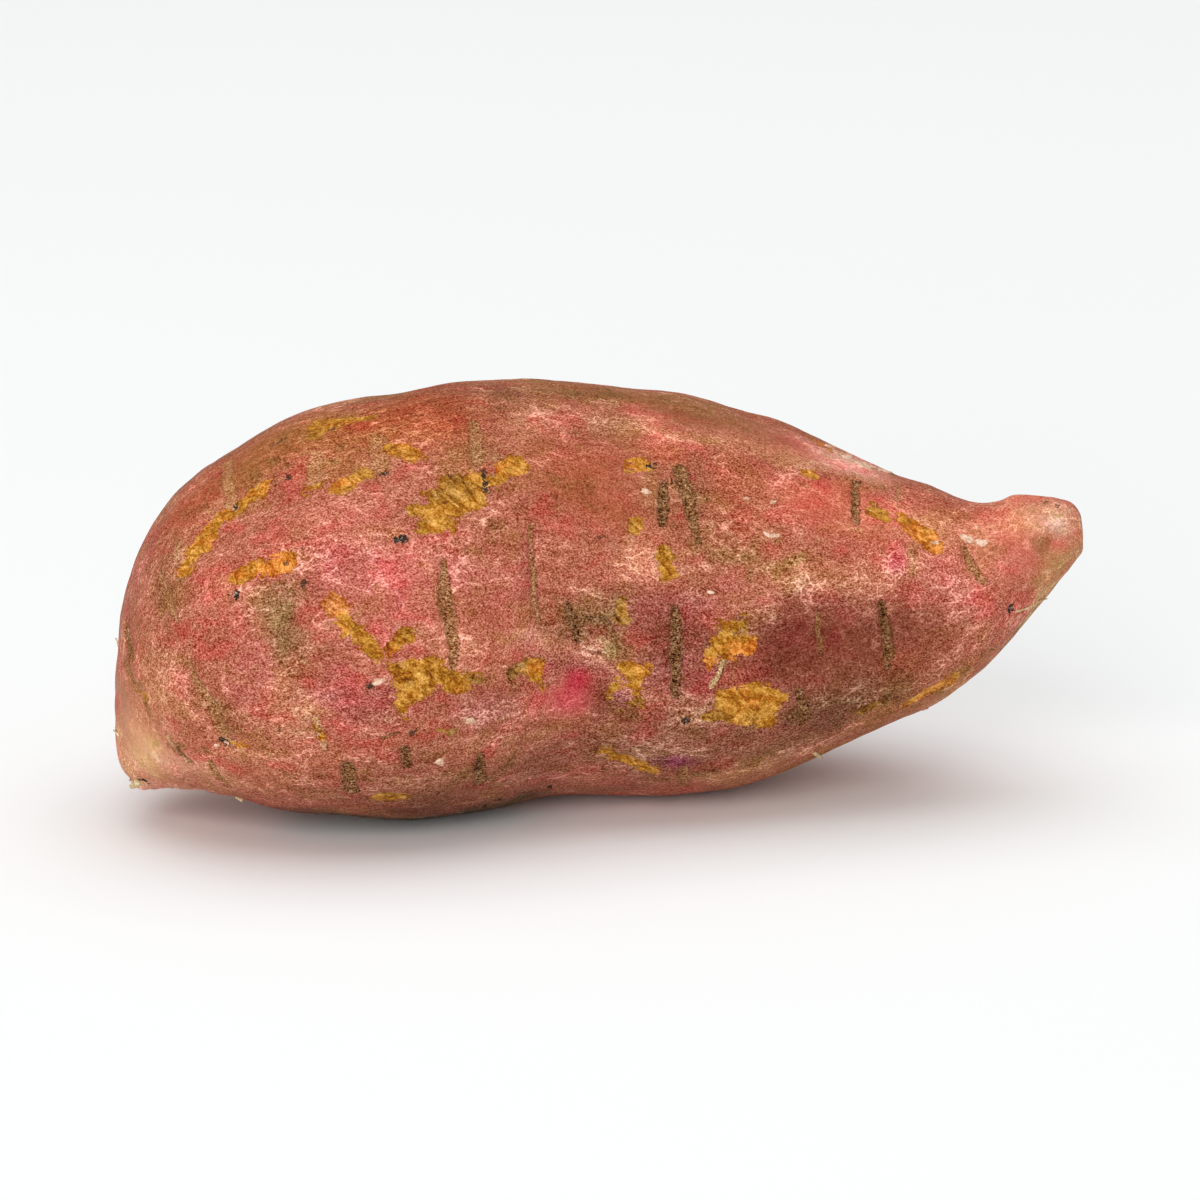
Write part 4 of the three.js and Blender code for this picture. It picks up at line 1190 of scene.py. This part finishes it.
    # rubbed patches: gold flesh, orange and olive in places, with wrinkles on the slant that carry a painted highlight
    # on their crests and painted shade in their folds, and edges that flake off
    scale = {"Vector": stretch(tree, fibre, (0.55, 1.0, 1.0)), "Scale": 900.0}
    pieces = addNode(tree, "ShaderNodeTexVoronoi", scale).outputs["Color"]
    chipping, toning, _ = addNode(tree, "ShaderNodeSeparateColor", {0: pieces}).outputs
    edge = total(tree, rubbedEdge, -0.75, product(tree, chipping, 1.0))
    rubbed = ragMask(edge, 4.0, 0.22)
    tone = total(tree, read("tone"), product(tree, toning, 0.3), product(tree, hue, 1.5), -0.92)
    flesh = blend(tree, ramp(tree, tone, 0.0, 0.6), shown(look["fleshOlive"]), shown(look["fleshGold"]))
    flesh = blend(tree, ramp(tree, tone, 0.6, 1.2), flesh, shown(look["fleshOrange"]))
    flesh = blend(tree, ramp(tree, tone, 1.15, 1.6), flesh, shown(look["fleshPeach"]))
    folded = noise(tree, slant(tree, place, (2.6, 1.0, 1.0), 0.7), 420.0, 3.0, 0.6, 0.5)
    wave = calc(tree, "SINE", product(tree, folded, 24.0))
    # painted highlight on the wrinkle crests and painted shade in the folds between them
    fleshLight = total(tree, product(tree, ramp(tree, wave, 0.2, 1.0), 0.1),
                       product(tree, ramp(tree, wave, -0.5, -1.0), -0.13))
    fleshLight = total(tree, fleshLight, product(tree, calc(tree, "SUBTRACT", broken, 0.5), 1.0))
    fleshLight = total(tree, fleshLight, product(tree, grain["Light"], 0.1), product(tree, grain["Dark"], -0.12))
    rubbed = product(tree, rubbed, 0.95)
    colour = blend(tree, rubbed, colour, flesh)
    light = between(tree, rubbed, light, fleshLight)
    rim = product(tree, band(tree, rubbed, 0.4, 0.4), ramp(tree, hue, 0.48, 0.58, 0.0, 0.6),
                  ramp(tree, ragged, 0.44, 0.56))
    colour = blend(tree, rim, colour, shown(look["fleshRim"]))

    # pale scraped skin, and dark pits with crumbs in them; small pits are fainter
    scraped = read("chips")
    bare = blend(tree, ramp(tree, scraped, -0.6, -1.2), shown(look["scraped"]), shown(look["chip"]))
    chip = product(tree, ragMask(scraped, 3.0, 0.25), ramp(tree, scraped, -0.6, -1.2, 0.4, 0.85))
    colour = blend(tree, chip, colour, bare)
    pitPlace = read("pits", "Vector")
    pitSize = addNode(tree, "ShaderNodeSeparateXYZ", {0: pitPlace}).outputs["Z"]
    pitEdge = useGroup(tree, groups["besideMark"], {"Place": pitPlace})["Distance"]
    pit = product(tree, ragMask(pitEdge, 6.0, 0.12), ramp(tree, pitSize, 0.2, 0.6, 0.6, 1.0))
    dirt = blend(tree, ramp(tree, pitSize, 0.35, 0.8), shown(look["pit"]), shown(look["pitDeep"]))
    colour = blend(tree, pit, colour, dirt)
    pitLight = total(tree, product(tree, grain["Light"], 0.2), product(tree, ramp(tree, crumbs, 0.56, 0.66), 0.4))
    light = between(tree, pit, light, pitLight)
    colour = tinge(tree, 1.0, colour, look["overall"])
    colour = lighten(tree, colour, light)

    # relief too fine for the mesh
    height = product(tree, lines, 0.00005)
    height = total(tree, height, product(tree, grain["Light"], 0.00004), product(tree, mottle, 0.0006))
    height = total(tree, height, product(tree, streak, 0.0003), product(tree, dusty, 0.00006))
    height = total(tree, height, product(tree, grain["Dark"], -0.00004), product(tree, cracked, -0.0003))
    height = total(tree, height, product(tree, slit, ragged, 0.0008))
    height = total(tree, height, product(tree, rubbed, calc(tree, "MULTIPLY_ADD", wave, 0.00012, -0.0002)))
    roughness = ramp(tree, mottle, 0.3, 0.7, 0.52, 0.68)
    roughness = total(tree, roughness, product(tree, slit, 0.2))
    endMaterial(tree, colour, roughness, height)
    return material


# Cream, tan in patches of noise, with darker specks.
def makeFlakeMaterial():
    material, tree = startMaterial("sweet_potato_flakes")
    place = tree.nodes.new("ShaderNodeTexCoord").outputs["Object"]
    patchy = noise(tree, place, 900.0, 4.0, 0.65)
    colour = blend(tree, ramp(tree, patchy, 0.38, 0.62), shown((206, 156, 126)), shown((242, 208, 184)))
    specks = ramp(tree, noise(tree, place, 2600.0, 2.0, 0.7), 0.42, 0.3, 0.0, 0.6)
    colour = blend(tree, specks, colour, shown((140, 94, 66)))
    endMaterial(tree, colour, 0.6, product(tree, patchy, 0.0003))
    return material


# Straw, paler in patches of noise.
def makeRootletMaterial():
    material, tree = startMaterial("sweet_potato_rootlets")
    place = tree.nodes.new("ShaderNodeTexCoord").outputs["Object"]
    patchy = noise(tree, place, 1300.0, 4.0, 0.65)
    colour = blend(tree, ramp(tree, patchy, 0.4, 0.6), shown((190, 160, 110)), shown((240, 222, 184)))
    endMaterial(tree, colour, 0.7, product(tree, patchy, 0.0003))
    return material


# A plain pale floor and soft light from above, with a white surround.
studio = {
    "floorSize": 12, "floor": (249, 251, 251), "ambient": 0.36, "aim": (0, 0, 0.03),
    "key": {"place": (0.0, 0.2, 2.2), "size": 2.7, "power": 34.0},
    "fill": {"place": (-0.9, -3.0, 1.4), "size": 2.4, "power": 64.0},
}


# A square lamp that faces the root.
def makeLight(name, place, size, power):
    light = bpy.data.lights.new(name, "AREA")
    light.energy = power
    light.size = size
    lamp = bpy.data.objects.new(name, light)
    lamp.location = place
    aim = mathutils.Vector(studio["aim"]) - lamp.location
    lamp.rotation_euler = aim.to_track_quat("-Z", "Y").to_euler()
    bpy.context.collection.objects.link(lamp)


# The floor is a square with its middle under the root, and the lamps stand where the studio says.
def makeStudio():
    size = studio["floorSize"] / 2
    mesh = bpy.data.meshes.new("floor")
    mesh.from_pydata([(-size, -size, 0), (size, -size, 0), (size, size, 0), (-size, size, 0)], [], [(0, 1, 2, 3)])
    floor = bpy.data.objects.new("floor", mesh)
    bpy.context.collection.objects.link(floor)
    material = bpy.data.materials.new("floor")
    material.use_nodes = True
    shader = material.node_tree.nodes["Principled BSDF"]
    shader.inputs["Base Color"].default_value = (*toLight(studio["floor"]), 1.0)
    shader.inputs["Roughness"].default_value = 0.9
    shader.inputs["Specular IOR Level"].default_value = 0.0
    mesh.materials.append(material)
    world = bpy.data.worlds.new("studio")
    bpy.context.scene.world = world
    world.use_nodes = True
    world.node_tree.nodes["Background"].inputs["Color"].default_value = (1, 1, 1, 1)
    world.node_tree.nodes["Background"].inputs["Strength"].default_value = studio["ambient"]
    for name in ("key", "fill"):
        makeLight(name, **studio[name])


# The camera looks level with the outline's frame, so it is turned down by the outline's elevation.
def makeCamera(shift):
    aim = turnLevel(np.array([[0, 0, camera["aimHeight"]]]))[0] + shift
    angle = math.radians(root["outlineElevation"])
    place = aim + camera["distance"] * np.array([0, -math.cos(angle), math.sin(angle)])
    data = bpy.data.cameras.new("camera")
    data.sensor_width = camera["sensor"]
    data.lens = camera["sensor"] * camera["distance"] / camera["frameWidth"]
    data.clip_end = 100
    view = bpy.data.objects.new("camera", data)
    view.location = place * mm
    view.rotation_euler = (math.pi / 2 - angle, 0, 0)
    bpy.context.collection.objects.link(view)
    bpy.context.scene.camera = view
    bpy.context.scene.view_settings.view_transform = "Standard"


skin, skinPoints, skinNormals, shift = makeSkin()
groups = {"raggedMark": makeRaggedMark(), "besideMark": makeBesideMark(), "fineGrain": makeFineGrain(),
          "fibreLines": makeFibreLines()}
skin.data.materials.append(makeSkinMaterial(groups))
makeFlakes(skinPoints, skinNormals, shift).data.materials.append(makeFlakeMaterial())
makeRootlets(skinPoints, skinNormals, shift).data.materials.append(makeRootletMaterial())
print("skin dressed")
makeCamera(shift)
makeStudio()
print("studio set")
